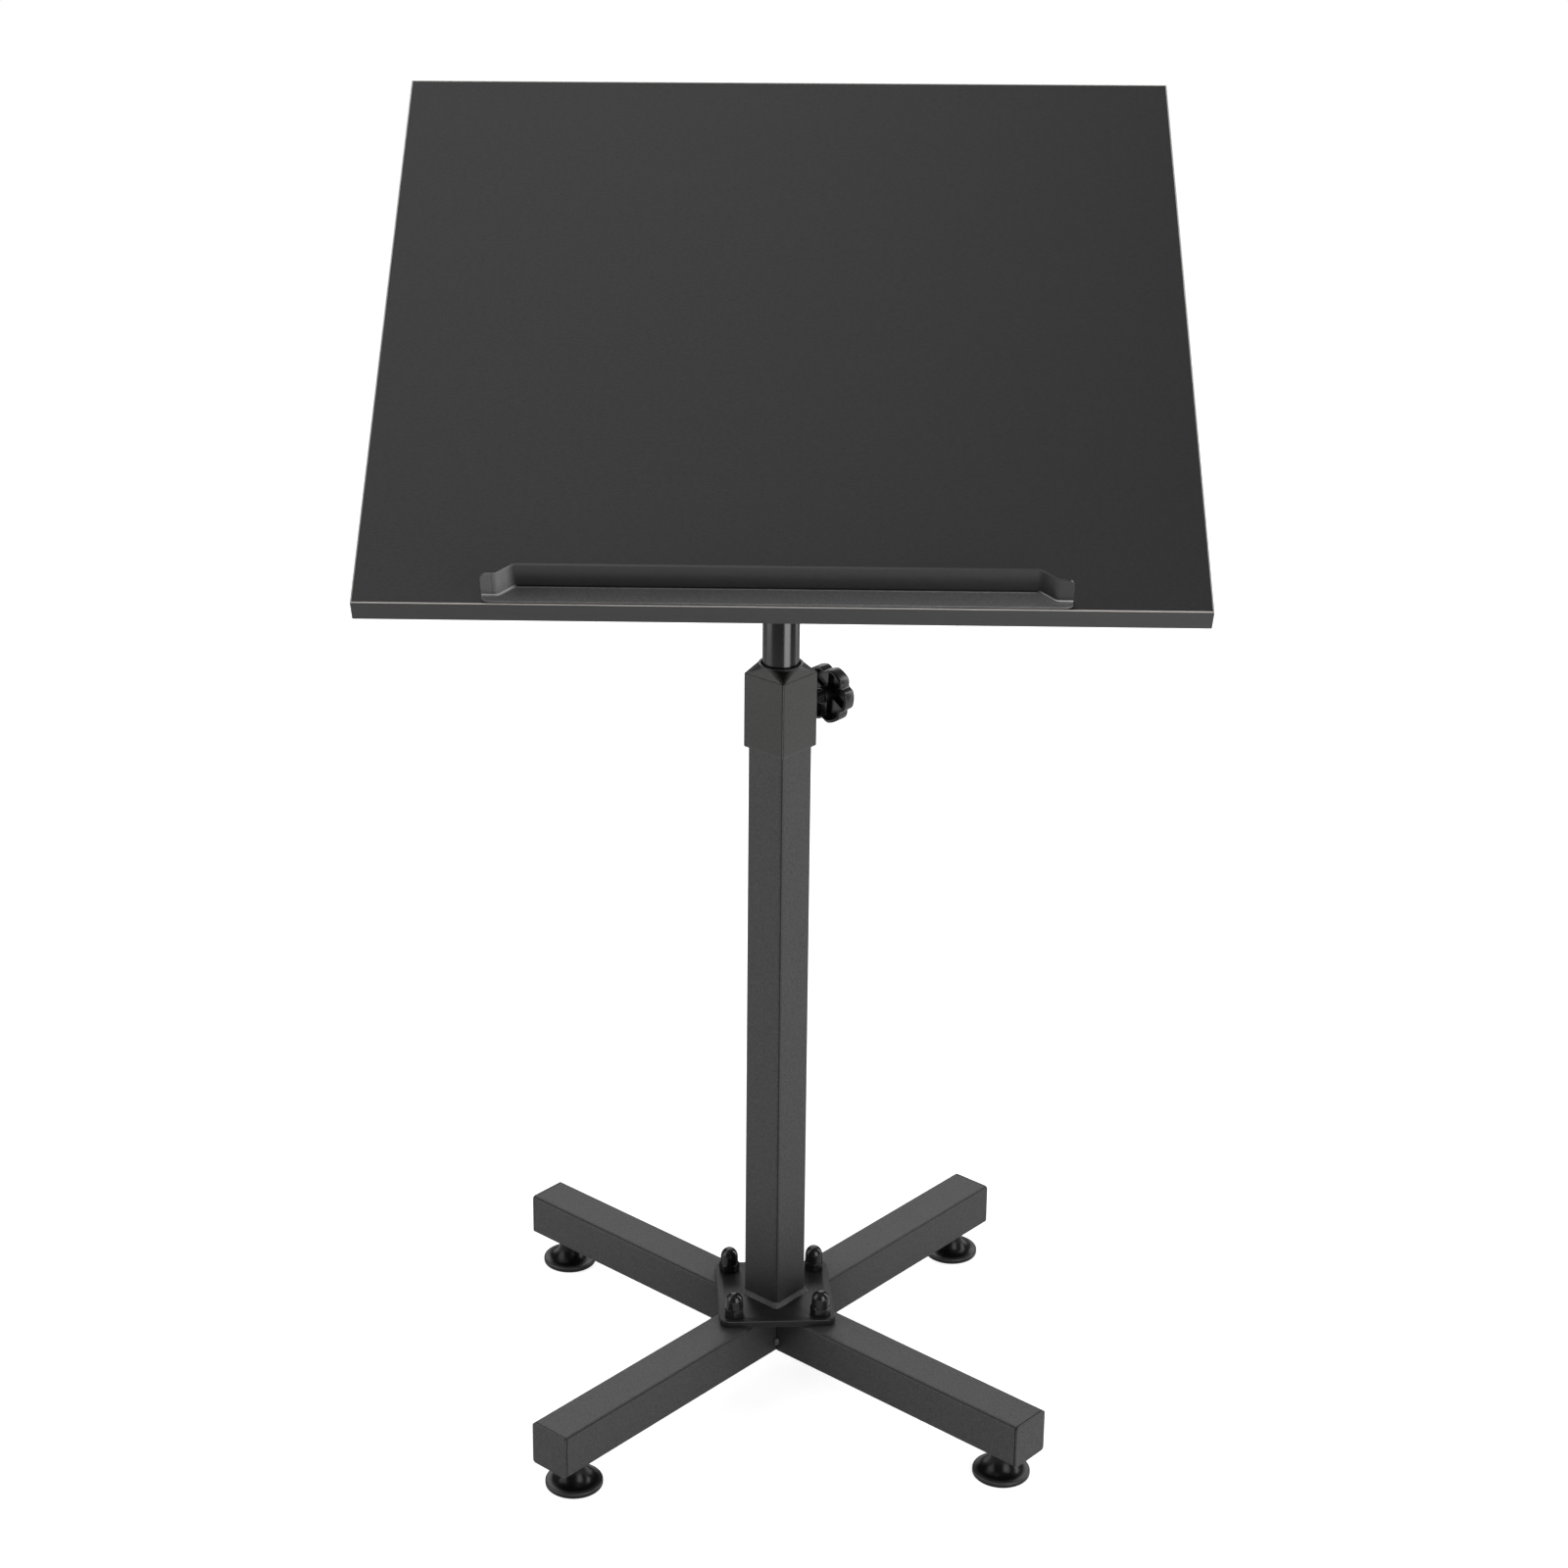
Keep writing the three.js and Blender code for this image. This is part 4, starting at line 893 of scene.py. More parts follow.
class MUSIC_STAND_OT_feet(bpy.types.Operator):
    """Builds the four mushroom feet and their threaded studs"""
    bl_idname = "music_stand.feet"
    bl_label = "Feet"

    def execute(self, context):
        sizes = context.scene.music_stand.base
        radius = PAD_HIGH.y
        top, edge, rim = PAD_HIGH.z, sizes.pad_edge, sizes.pad_rim
        stud = context.scene.music_stand.column.thread
        bore = stud + mm(0.3)
        # The flank is a quadratic curve from the rim to the neck, bent towards their corner.
        t = np.linspace(0, 1, 25)[1:]
        flank = ((1 - t) ** 2 * (radius - edge) + (1 - (1 - t) ** 2) * sizes.pad_neck,
                 (1 - t * t) * rim + t * t * (top - mm(0.4)))
        pad = [revolved((0, 0), (radius * 0.5, 0), (radius - edge - mm(0.2), 0),
                        arc(radius - edge, edge, edge, -90, 0),
                        arc(radius - edge, rim - edge, edge, 0, 90), flank,
                        arc(sizes.pad_neck - mm(0.4), top - mm(0.4), mm(0.4), 0, 90, 4),
                        (bore, top), (bore, sizes.pad_floor), (0, sizes.pad_floor), columns=FINE)]
        pitch = context.scene.music_stand.column.pitch
        screw = [revolved((0, STUD_LOW.z), (stud - mm(0.7), STUD_LOW.z),
                          thread(stud, STUD_LOW.z + mm(0.4), STUD_HIGH.z - mm(0.4), pitch),
                          (stud - mm(0.7), STUD_HIGH.z), (0, STUD_HIGH.z))]
        reach = (PAD_LOW.x + PAD_HIGH.x) / 2
        for corner, place in LEGS.items():
            stand_piece(f"foot_{corner}", pad, place @ shift(reach), "gloss_plastic",
                        f"glide_pad_{corner}")
            stand_piece(f"foot_thread_{corner}", screw, place @ shift(reach), "zinc_steel",
                        f"glide_stud_{corner}")
        return {"FINISHED"}


class MUSIC_STAND_OT_base_plate(bpy.types.Operator):
    """Builds the base plate with its round edges and its four bolt holes"""
    bl_idname = "music_stand.base_plate"
    bl_label = "Base plate"

    def execute(self, context):
        sizes = context.scene.music_stand.base
        side = PLATE_HIGH.x - PLATE_LOW.x
        reach = (BOLT_LOW.x + BOLT_HIGH.x) / 2 / math.sqrt(2)
        radius = context.scene.music_stand.column.thread + mm(0.3)
        hole = np.column_stack(arc(0, 0, radius, 0, 345, 23))
        holes = [hole + (x * reach, y * reach) for x in (-1, 1) for y in (-1, 1)]
        outline = rounded_square(side, side, sizes.plate_corner, 12, beside=0)
        sheet = [flat_sheet(outline, holes, PLATE_LOW.z, PLATE_HIGH.z, sizes.plate_edge)]
        stand_piece("corner_plate", sheet, BASE @ turn(math.pi / 4), "gloss_paint", "base_plate",
                    finish="plate_paint")
        return {"FINISHED"}


class MUSIC_STAND_OT_base_fasteners(bpy.types.Operator):
    """Builds the four hexagon bolts under the legs and the four tall domed nuts on the plate"""
    bl_idname = "music_stand.base_fasteners"
    bl_label = "Domed nuts and bolts"

    def execute(self, context):
        sizes, column = context.scene.music_stand.base, context.scene.music_stand.column
        flats, seat = sizes.nut_flats, PLATE_HIGH.z
        hexagon_top = seat + sizes.nut_hexagon
        upper_circle, upper_cut = hex_end(flats, hexagon_top, 1)
        lower_circle, lower_cut = hex_end(flats, seat, -1)
        # The dome stands up from the hexagon and closes as half of the curve
        # |r / R| ^ 2.2 + |z / H| ^ 2.2 = 1.
        a = np.radians(np.linspace(0, 90, 19))
        rise = sizes.nut_dome * 1.15
        dome = (sizes.nut_dome * np.cos(a) ** 0.91, ACORN_HIGH.z - rise + rise * np.sin(a) ** 0.91)
        bore, roof = column.thread + mm(0.3), ACORN_HIGH.z - mm(4)
        nut = [revolved((0, roof), (bore, roof), (bore, seat), lower_circle, lower_cut, upper_cut,
                        upper_circle, (sizes.nut_dome + mm(0.1), hexagon_top), dome)]
        low, head = BOLT_LOW.z, LEG_LOW.z
        outer_circle, outer_cut = hex_end(flats, low, -1)
        inner_circle, inner_cut = hex_end(flats, head, 1)
        bolt = [revolved((0, low), outer_circle, outer_cut, inner_cut, inner_circle,
                         (column.thread - mm(0.1), head),
                         (column.thread - mm(0.1), seat - mm(2)),
                         thread(column.thread, seat - mm(2), BOLT_HIGH.z - mm(0.5), column.pitch),
                         (column.thread - mm(0.7), BOLT_HIGH.z), (0, BOLT_HIGH.z))]
        reach = (BOLT_LOW.x + BOLT_HIGH.x) / 2
        for corner, place in LEGS.items():
            stand_piece(f"hex_bolt_{corner}", bolt, place @ shift(reach), "zinc_steel",
                        f"base_bolt_{corner}", edge=mm(0.15), sharp=25)
            stand_piece(f"domed_nut_{corner}", nut, place @ shift(reach) @ turn(math.radians(11)),
                        "gloss_paint", f"acorn_nut_{corner}", edge=mm(0.2), sharp=25)
        return {"FINISHED"}


# ---- Pole, collar, clamp and mast -----------------------------------------------------------

def even_outline(side, radius, count):
    """Points and outward normals at even steps round a square with round corners."""
    flat, bend = side - 2 * radius, radius * math.pi / 2
    s = np.linspace(0, 4 * (flat + bend), count, endpoint=False)
    quarter, s = np.divmod(s, flat + bend)
    a = np.clip((s - flat) / radius, 0, math.pi / 2) + quarter * math.pi / 2
    along = np.clip(s, 0, flat) - flat / 2
    normal = np.stack([np.cos(a), np.sin(a)], axis=-1)
    q = quarter * math.pi / 2
    out, up = np.stack([np.cos(q), np.sin(q)], axis=-1), np.stack([-np.sin(q), np.cos(q)], axis=-1)
    middle = out * (flat / 2) + up * np.where(s > flat, flat / 2, along)[:, None]
    return middle + radius * normal, normal


def fillet_weld(side, radius, level, leg):
    """A fillet weld round a square tube's foot: its section is the curve |x|^p + |z|^p = leg^p
    with p = 1.2, its leg rises and falls with the weld's ripples and its starts, and it closes
    behind."""
    outline, normal = even_outline(side, radius, 720)
    s = circle(len(outline))
    size = leg * (1 + 0.035 * np.sin(92 * s) + 0.06 * np.sin(9 * s + 1) * np.sin(4 * s)
                  + 0.22 * np.exp(-((s % (math.pi / 2) - 1.45) / 0.05) ** 2))
    a = np.radians(np.linspace(0, 90, 9))[:, None]
    out, up = size * np.cos(a) ** 1.667, size * np.sin(a) ** 1.667
    out = np.concatenate([out, np.full((1, len(s)), -mm(0.3))])
    up = np.concatenate([up, np.full((1, len(s)), -mm(0.05))])
    points = np.stack([outline[:, 0] + out * normal[:, 0], outline[:, 1] + out * normal[:, 1],
                       level + up], axis=-1)
    return grid(points, close_rows=True, close_columns=True)


class MUSIC_STAND_OT_pole(bpy.types.Operator):
    """Builds the square pole and the weld round its foot"""
    bl_idname = "music_stand.pole"
    bl_label = "Square pole"

    def execute(self, context):
        sizes, column = context.scene.music_stand.base, context.scene.music_stand.column
        tube = square_tube(POLE_LOW.z, POLE_HIGH.z, TUBE, sizes.wall, sizes.corner)
        stand_piece("square_pole", tube, BASE, "powder_coat", "pole")
        weld = [fillet_weld(TUBE, sizes.corner, POLE_LOW.z, column.weld)]
        stand_piece("pole_foot_weld", weld, BASE, "powder_coat", body="stand", finish="weld_coat",
                    sharp=60)
        return {"FINISHED"}


def square_as_circle(radius, steps=12):
    """A circle cut into four quadrants whose points match a rounded square's corners: the points
    beside a corner's arc fall on the quadrant's ends."""
    a = np.radians(np.concatenate([[0], np.linspace(0, 90, steps + 1), [90]]))
    a = (a[None, :] + np.radians(90) * np.arange(4)[:, None]).ravel()
    return radius * np.stack([np.cos(a), np.sin(a)], axis=-1)


class MUSIC_STAND_OT_collar(bpy.types.Operator):
    """Builds the moulded collar, square at its sleeve and round at its rim"""
    bl_idname = "music_stand.collar"
    bl_label = "Collar"

    def execute(self, context):
        column = context.scene.music_stand.column
        side, edge, lean = COLLAR_HIGH.x - COLLAR_LOW.x, column.collar_edge, mm(0.25)
        top = COLLAR_HIGH.z
        cone_top = top - column.collar_lip
        shoulder = cone_top - column.collar_cone
        steps = 12

        def square(inset, corner=column.collar_corner):
            """The sleeve's outline, moved inwards."""
            return rounded_square(side - 2 * inset, side - 2 * inset,
                                  max(corner - inset * 0.4, mm(0.3)), steps)

        def round_(radius):
            """A circle with as many points as the sleeve's outline."""
            return square_as_circle(radius, steps)

        # Rows run up the outside, over the rim and down the inside; arcs round the outer edges.
        foot_in, foot_up = arc(edge, COLLAR_LOW.z + edge, edge, 270, 180, 4)
        shoulder_in, shoulder_up = arc(edge, shoulder - edge, edge, 180, 112, 4)
        hollow = TUBE + mm(0.6)
        inner = rounded_square(hollow, hollow, mm(1.8), steps)
        roof = BUSH_HIGH.z + mm(0.3)
        rows = [(square(x), z) for x, z in zip(foot_in, foot_up)]
        rows += [(square(x), z) for x, z in zip(shoulder_in, shoulder_up)]
        rows += [(round_(column.collar_rim + lean * 0.4), cone_top - mm(0.15)),
                 (round_(column.collar_rim), cone_top + mm(0.1)),
                 (round_(column.collar_rim), top - mm(0.25)),
                 (round_(column.collar_rim - mm(0.25)), top),
                 (round_(column.collar_bore + mm(0.25)), top),
                 (round_(column.collar_bore), top - mm(0.25)),
                 (round_(column.collar_bore), roof),
                 (inner, roof), (inner, COLLAR_LOW.z + mm(0.8)),
                 (rounded_square(hollow + mm(1), hollow + mm(1), mm(1.8), steps), COLLAR_LOW.z)]
        shell = [grid(stacked(*rows), close_rows=True, close_columns=True)]
        stand_piece("collar_moulding", shell, BASE, "collar_plastic", "collar", sharp=26)
        return {"FINISHED"}


def star_knob(column, radius, height, grip):
    """A hollow star knob along Z with its hub at z = 0. Its radius at an angle a is R - A v, where
    v = exp(-(d / 0.15) ^ 2) with d the way to the nearest of six valleys, as a share of their
    spacing, R is the row's own radius and A the valleys' depth there. The hollow follows the same
    outline, and six thin ribs exp(-(d / 0.045) ^ 2) stand on its floor from the hub to the
    valleys."""
    columns = 6 * 48
    share = (6 * circle(columns) / (2 * math.pi) + 0.5) % 1 - 0.5
    valley = np.exp(-(share / 0.15) ** 2)[None, :]
    rib = np.exp(-(share / 0.045) ** 2)[None, :]
    depth, edge, start = column.lobe_depth, column.knob_edge, column.hub_length
    inside = radius - column.knob_wall
    floor = start + column.knob_dish

    def lobed(radii, heights):
        """Rows less their valleys, which fade towards the axis as the square of the radius."""
        radii = as_rows(radii)
        return radii - np.clip(radii / radius, 0, 1) ** 2 * depth * valley, heights

    outer = arc(radius - edge, height - edge, edge, 90, 0, 8)
    rim = arc(radius - mm(0.6), start + mm(0.6), mm(0.6), 0, -90, 4)
    lip = arc(inside + mm(0.4), start + mm(0.4), mm(0.4), -90, -180, 3)
    crown = np.linspace(0, radius - edge, 7)
    sag = mm(0.35) * (crown / (radius - edge)) ** 2
    bore = column.thread + mm(0.3)
    ring = column.hub - mm(0.8)
    return revolved(lobed(crown[:-1], height - sag[:-1]), lobed(outer[0], outer[1] - sag[-1]),
                    lobed(*rim), lobed(*lip), lobed([inside - mm(0.3)], floor - mm(1.2)),
                    lobed([inside - mm(1.2)], floor - mm(3.4) * rib),
                    ([[column.hub + mm(0.5)]], floor - mm(3.4) * rib),
                    (column.hub, floor - mm(0.8) - mm(2.6) * rib), (column.hub, mm(0.5)),
                    (column.hub - mm(0.15), mm(0.15)), (column.hub - mm(0.5), 0), (ring, 0),
                    (ring - mm(0.2), mm(0.2)), (ring - mm(0.3), mm(2.5)), (bore, mm(2.5)),
                    (bore, grip), (0, grip), columns=columns)


class MUSIC_STAND_OT_star_knobs(bpy.types.Operator):
    """Builds the clamp's star knob and screw, and the tilt lock's star knob"""
    bl_idname = "music_stand.star_knobs"
    bl_label = "Star knobs"

    def execute(self, context):
        column = context.scene.music_stand.column
        height = KNOB_HIGH.x - KNOB_LOW.x
        grip = SCREW_HIGH.x - KNOB_LOW.x + mm(0.3)
        clamp = BASE @ shift(z=(KNOB_LOW.z + KNOB_HIGH.z) / 2) @ ALONG_X
        large, start = [star_knob(column, column.knob_radius, height, grip)], turn(column.knob_turn)
        stand_piece("clamp_star_knob", large, clamp @ shift(z=KNOB_LOW.x) @ start, "gloss_plastic",
                    "clamp_knob", finish="knob_plastic")
        low, high, radius = SCREW_LOW.x, SCREW_HIGH.x, column.thread
        screw = [revolved((0, low), (radius - mm(0.8), low),
                          thread(radius, low + mm(0.5), high - mm(0.4), column.pitch),
                          (radius - mm(0.7), high), (0, high))]
        stand_piece("clamp_thread", screw, clamp, "black_steel", "clamp_screw")
        small = [star_knob(column, column.lock_knob_radius, height, grip)]
        lock_level = (LOCK_KNOB_LOW.z + LOCK_KNOB_HIGH.z) / 2
        lock = COLUMN @ shift(LOCK_KNOB_LOW.x, 0, lock_level) @ ALONG_X
        stand_piece("lock_star_knob", small, lock @ start, "gloss_plastic", "lock_knob",
                    finish="knob_plastic")
        return {"FINISHED"}


class MUSIC_STAND_OT_mast(bpy.types.Operator):
    """Builds the round mast"""
    bl_idname = "music_stand.mast"
    bl_label = "Round mast"

    def execute(self, context):
        radius, low, high = MAST_HIGH.x, MAST_LOW.z, MAST_HIGH.z
        bore, edge = radius - context.scene.music_stand.column.mast_wall, mm(0.4)
        tube = [revolved(arc(radius - edge, low + edge, edge, -90, 0, 4),
                         arc(radius - edge, high - edge, edge, 0, 90, 4), (bore, high), (bore, low),
                         columns=FINE, ring=True)]
        stand_piece("round_mast", tube, COLUMN, "satin_black", "mast", sharp=40)
        return {"FINISHED"}


# ---- Tilt head ------------------------------------------------------------------------------

def round_loop(across, up, radius, columns=32):
    """A circle as a loop of flat points."""
    a = circle(columns)
    return np.stack([across + radius * np.cos(a), up + radius * np.sin(a)], axis=-1)


class MUSIC_STAND_OT_tilt_head(bpy.types.Operator):
    """Builds the lug on the mast, its two bolts, the pivot's nut and the lock's washer"""
    bl_idname = "music_stand.tilt_head"
    bl_label = "Tilt head"

    def execute(self, context):
        column, board = context.scene.music_stand.column, context.scene.music_stand.board
        flats = context.scene.music_stand.base.nut_flats
        half, bore = HEAD_HIGH.y, column.thread + mm(0.3)
        lug_low = MAST_HIGH.z
        top = np.column_stack(arc(0, PIVOT.z, half, 0, 180, 24))
        outline = np.concatenate([[[-half, lug_low], [half, lug_low]], top])
        holes = [round_loop(0, PIVOT.z, bore), round_loop(0, PIVOT.z - board.lock_radius, bore)]
        lug = placed([flat_sheet(outline, holes, HEAD_LOW.x, HEAD_HIGH.x, mm(0.8))], UPRIGHT)
        spigot = MAST_HIGH.x - column.mast_wall - mm(0.3)
        lug.append(revolved((0, HEAD_LOW.z), (spigot - mm(0.8), HEAD_LOW.z),
                            (spigot, HEAD_LOW.z + mm(0.8)), (spigot, lug_low + mm(0.4)),
                            (0, lug_low + mm(0.4))))
        stand_piece("head_lug", lug, COLUMN, "satin_black", "mast_head")

        def cross_bolt(low, high):
            """A hexagon bolt along Z between two heights."""
            head = low + mm(5.3)
            outer_circle, outer_cut = hex_end(flats, low, -1)
            inner_circle, inner_cut = hex_end(flats, head, 1)
            return [revolved((0, low), outer_circle, outer_cut, inner_cut, inner_circle,
                             (column.thread - mm(0.1), head), (column.thread - mm(0.1), mm(10)),
                             thread(column.thread, mm(10), high - mm(0.5), column.pitch),
                             (column.thread - mm(0.7), high), (0, high))]

        pivot = COLUMN @ shift(z=PIVOT.z) @ ALONG_X
        lock = COLUMN @ shift(z=PIVOT.z - board.lock_radius) @ ALONG_X
        stand_piece("pivot_hex_bolt", cross_bolt(PIVOT_BOLT_LOW.x, PIVOT_BOLT_HIGH.x), pivot,
                    "zinc_steel", "pivot_bolt", edge=mm(0.15), sharp=25)
        stand_piece("lock_hex_bolt", cross_bolt(LOCK_BOLT_LOW.x, LOCK_BOLT_HIGH.x), lock,
                    "zinc_steel", "lock_bolt", edge=mm(0.15), sharp=25)
        low, high = PIVOT_NUT_LOW.x, PIVOT_NUT_HIGH.x
        low_circle, low_cut = hex_end(flats, low, -1)
        high_circle, high_cut = hex_end(flats, high, 1)
        nut = [revolved((bore, low), low_circle, low_cut, high_cut, high_circle,
                        (bore + mm(0.4), high), (bore, high - mm(0.4)), ring=True)]
        stand_piece("pivot_hex_nut", nut, pivot, "zinc_steel", "pivot_nut", edge=mm(0.15), sharp=25)
        low, high, radius = WASHER_LOW.x, WASHER_HIGH.x, WASHER_HIGH.y
        washer = [revolved((bore, low), arc(radius - mm(0.3), low + mm(0.3), mm(0.3), -90, 0, 3),
                           arc(radius - mm(0.3), high - mm(0.3), mm(0.3), 0, 90, 3), (bore, high),
                           ring=True)]
        stand_piece("lock_flat_washer", washer, lock, "zinc_steel", "lock_washer")
        return {"FINISHED"}


def slot_loop(radius, half, steep):
    """A round-ended slot round the origin, from straight down to an angle past it, as (y, z)."""
    down, far = -90, -90 - math.degrees(steep)
    ends = [(radius * math.cos(math.radians(a)), radius * math.sin(math.radians(a)))
            for a in (down, far)]
    parts = [arc(0, 0, radius + half, far, down, 20), arc(*ends[0], half, down, down + 180, 10),
             arc(0, 0, radius - half, down, far, 20), arc(*ends[1], half, far + 180, far + 360, 10)]
    return np.concatenate([np.column_stack(part)[:-1] for part in parts])


def bead(size, along, corner_x, corner_z):
    """A weld bead along Y in the corner under a plate: a section with out = size cos^1.5 a and
    drop = size sin^1.5 a at each station, closed behind and lidded at both ends."""
    a = np.radians(np.linspace(0, 90, 8))[:, None]
    behind = np.full((1, len(along)), -mm(0.2))
    out = np.concatenate([size * np.cos(a) ** 1.5, behind])
    drop = np.concatenate([size * np.sin(a) ** 1.5, behind])
    points = np.stack([corner_x + out, np.broadcast_to(along, out.shape), corner_z - drop], axis=-1)
    lids = [(points[:, end], [list(range(len(points)))]) for end in (0, -1)]
    return [grid(points, close_rows=True), *lids]


class MUSIC_STAND_OT_tilt_bracket(bpy.types.Operator):
    """Builds the bracket under the board, its slotted cheeks, their welds and its four screws"""
    bl_idname = "music_stand.tilt_bracket"
    bl_label = "Tilt bracket"

    def execute(self, context):
        column, board = context.scene.music_stand.column, context.scene.music_stand.board
        size = BRACKET_HIGH - BRACKET_LOW
        under = BRACKET_HIGH.z - board.bracket_sheet
        place_x, place_y = (PAN_LOW.x + PAN_HIGH.x) / 2, (PAN_LOW.y + PAN_HIGH.y) / 2
        holes = [round_loop(x * place_x, y * place_y, mm(2.6), 24)
                 for x in (-1, 1) for y in (-1, 1)]
        outline = rounded_square(size.x, size.y, board.bracket_corner, 10, beside=0)
        patches = [flat_sheet(outline, holes, under, BRACKET_HIGH.z, mm(0.4))]
        reach, root = board.lock_radius + mm(9), under + mm(0.3)
        sector = np.column_stack(arc(0, 0, reach, -90 - math.degrees(board.steep) - 20, -70, 36))
        cheek = np.concatenate([[[-mm(40), root]], sector, [[mm(25), root]]])
        cuts = [round_loop(0, 0, column.thread + mm(0.3)),
                slot_loop(board.lock_radius, board.slot_half, board.steep)]
        flat = flat_sheet(cheek, cuts, 0, board.bracket_sheet, mm(0.4))
        for side in (-board.cheek_inside - board.bracket_sheet, board.cheek_inside):
            patches += placed([flat], shift(side) @ UPRIGHT)
        stand_piece("bent_bracket", patches, BOARD, "satin_black", "tilt_bracket", sharp=40)
        # The beads' ripples are 1.8 mm apart, and both ends taper off.
        along = np.linspace(-mm(36), mm(22), 240)
        taper = np.clip((mm(29) - np.abs(along + mm(7))) / mm(1.5), 0.05, 1)
        size = mm(2) * (1 + 0.06 * np.sin(along / mm(0.28))) * taper
        right = bead(size, along, board.cheek_inside + board.bracket_sheet, under)
        left = [(points * (-1, 1, 1), faces) for points, faces in right]
        stand_piece("cheek_welds", right + left, BOARD, "satin_black", body="board", sharp=60)
        low, high, top = PAN_LOW.z, PAN_HIGH.z, PAN_HIGH.x - place_x
        seat = under - mm(0.3)
        shank = mm(2.3)
        head = [revolved((0, low + mm(1.2)), (mm(1.5), low + mm(1.2)), (mm(1.5), low + mm(0.1)),
                         (top - mm(1.6), low),
                         arc(top - mm(1.4), seat - mm(1.4), mm(1.4), -80, 0, 6), (top, seat),
                         (shank, seat), thread(shank, seat + mm(1), high - mm(2.5), mm(1.6)),
                         (0, high))]
        for way_y, row in ((-1, "front"), (1, "rear")):
            for way_x, side in ((-1, "left"), (1, "right")):
                stand_piece(f"pan_screw_{row}_{side}", head,
                            BOARD @ shift(way_x * place_x, way_y * place_y), "zinc_steel",
                            f"bracket_screw_{row}_{side}")
        return {"FINISHED"}


# ---- Board and book stop --------------------------------------------------------------------

def block(low, high):
    """A rectangular block between two corners, as a ring of its four corners stacked at both
    heights and closed by two lids."""
    corners = np.array([[low[0], low[1]], [high[0], low[1]], [high[0], high[1]], [low[0], high[1]]])
    sides = grid(stacked((corners, low[2]), (corners, high[2])), close_columns=True)
    return [sides, (stacked((corners, low[2]))[0], [[3, 2, 1, 0]]),
            (stacked((corners, high[2]))[0], [[0, 1, 2, 3]])]


class MUSIC_STAND_OT_board(bpy.types.Operator):
    """Builds the board's laminated panel and the four strips round it"""
    bl_idname = "music_stand.board"
    bl_label = "Board"

    def execute(self, context):
        arris = context.scene.music_stand.board.arris
        hair = mm(0.04)
        half_x, half_y = BAND_HIGH.x, -BAND_LOW.y
        strip = BAND_HIGH.y - BAND_LOW.y
        low, high = BAND_LOW.z, BAND_HIGH.z
        inner_x, inner_y = half_x - strip - hair, half_y - strip - hair
        stand_piece("board_panel", block((-inner_x, -inner_y, low), (inner_x, inner_y, high)),
                    BOARD, "laminate", "board", edge=mm(0.12))
        strips = {"front": (-half_x, -half_y, half_x, -half_y + strip),
                  "rear": (-half_x, half_y - strip, half_x, half_y),
                  "left": (-half_x, -inner_y, -half_x + strip, inner_y),
                  "right": (half_x - strip, -inner_y, half_x, inner_y)}
        for name, (left, front, right, back) in strips.items():
            stand_piece(f"edge_strip_{name}", block((left, front, low), (right, back, high)), BOARD,
                        "edge_band", f"edge_band_{name}", edge=arris)
        return {"FINISHED"}


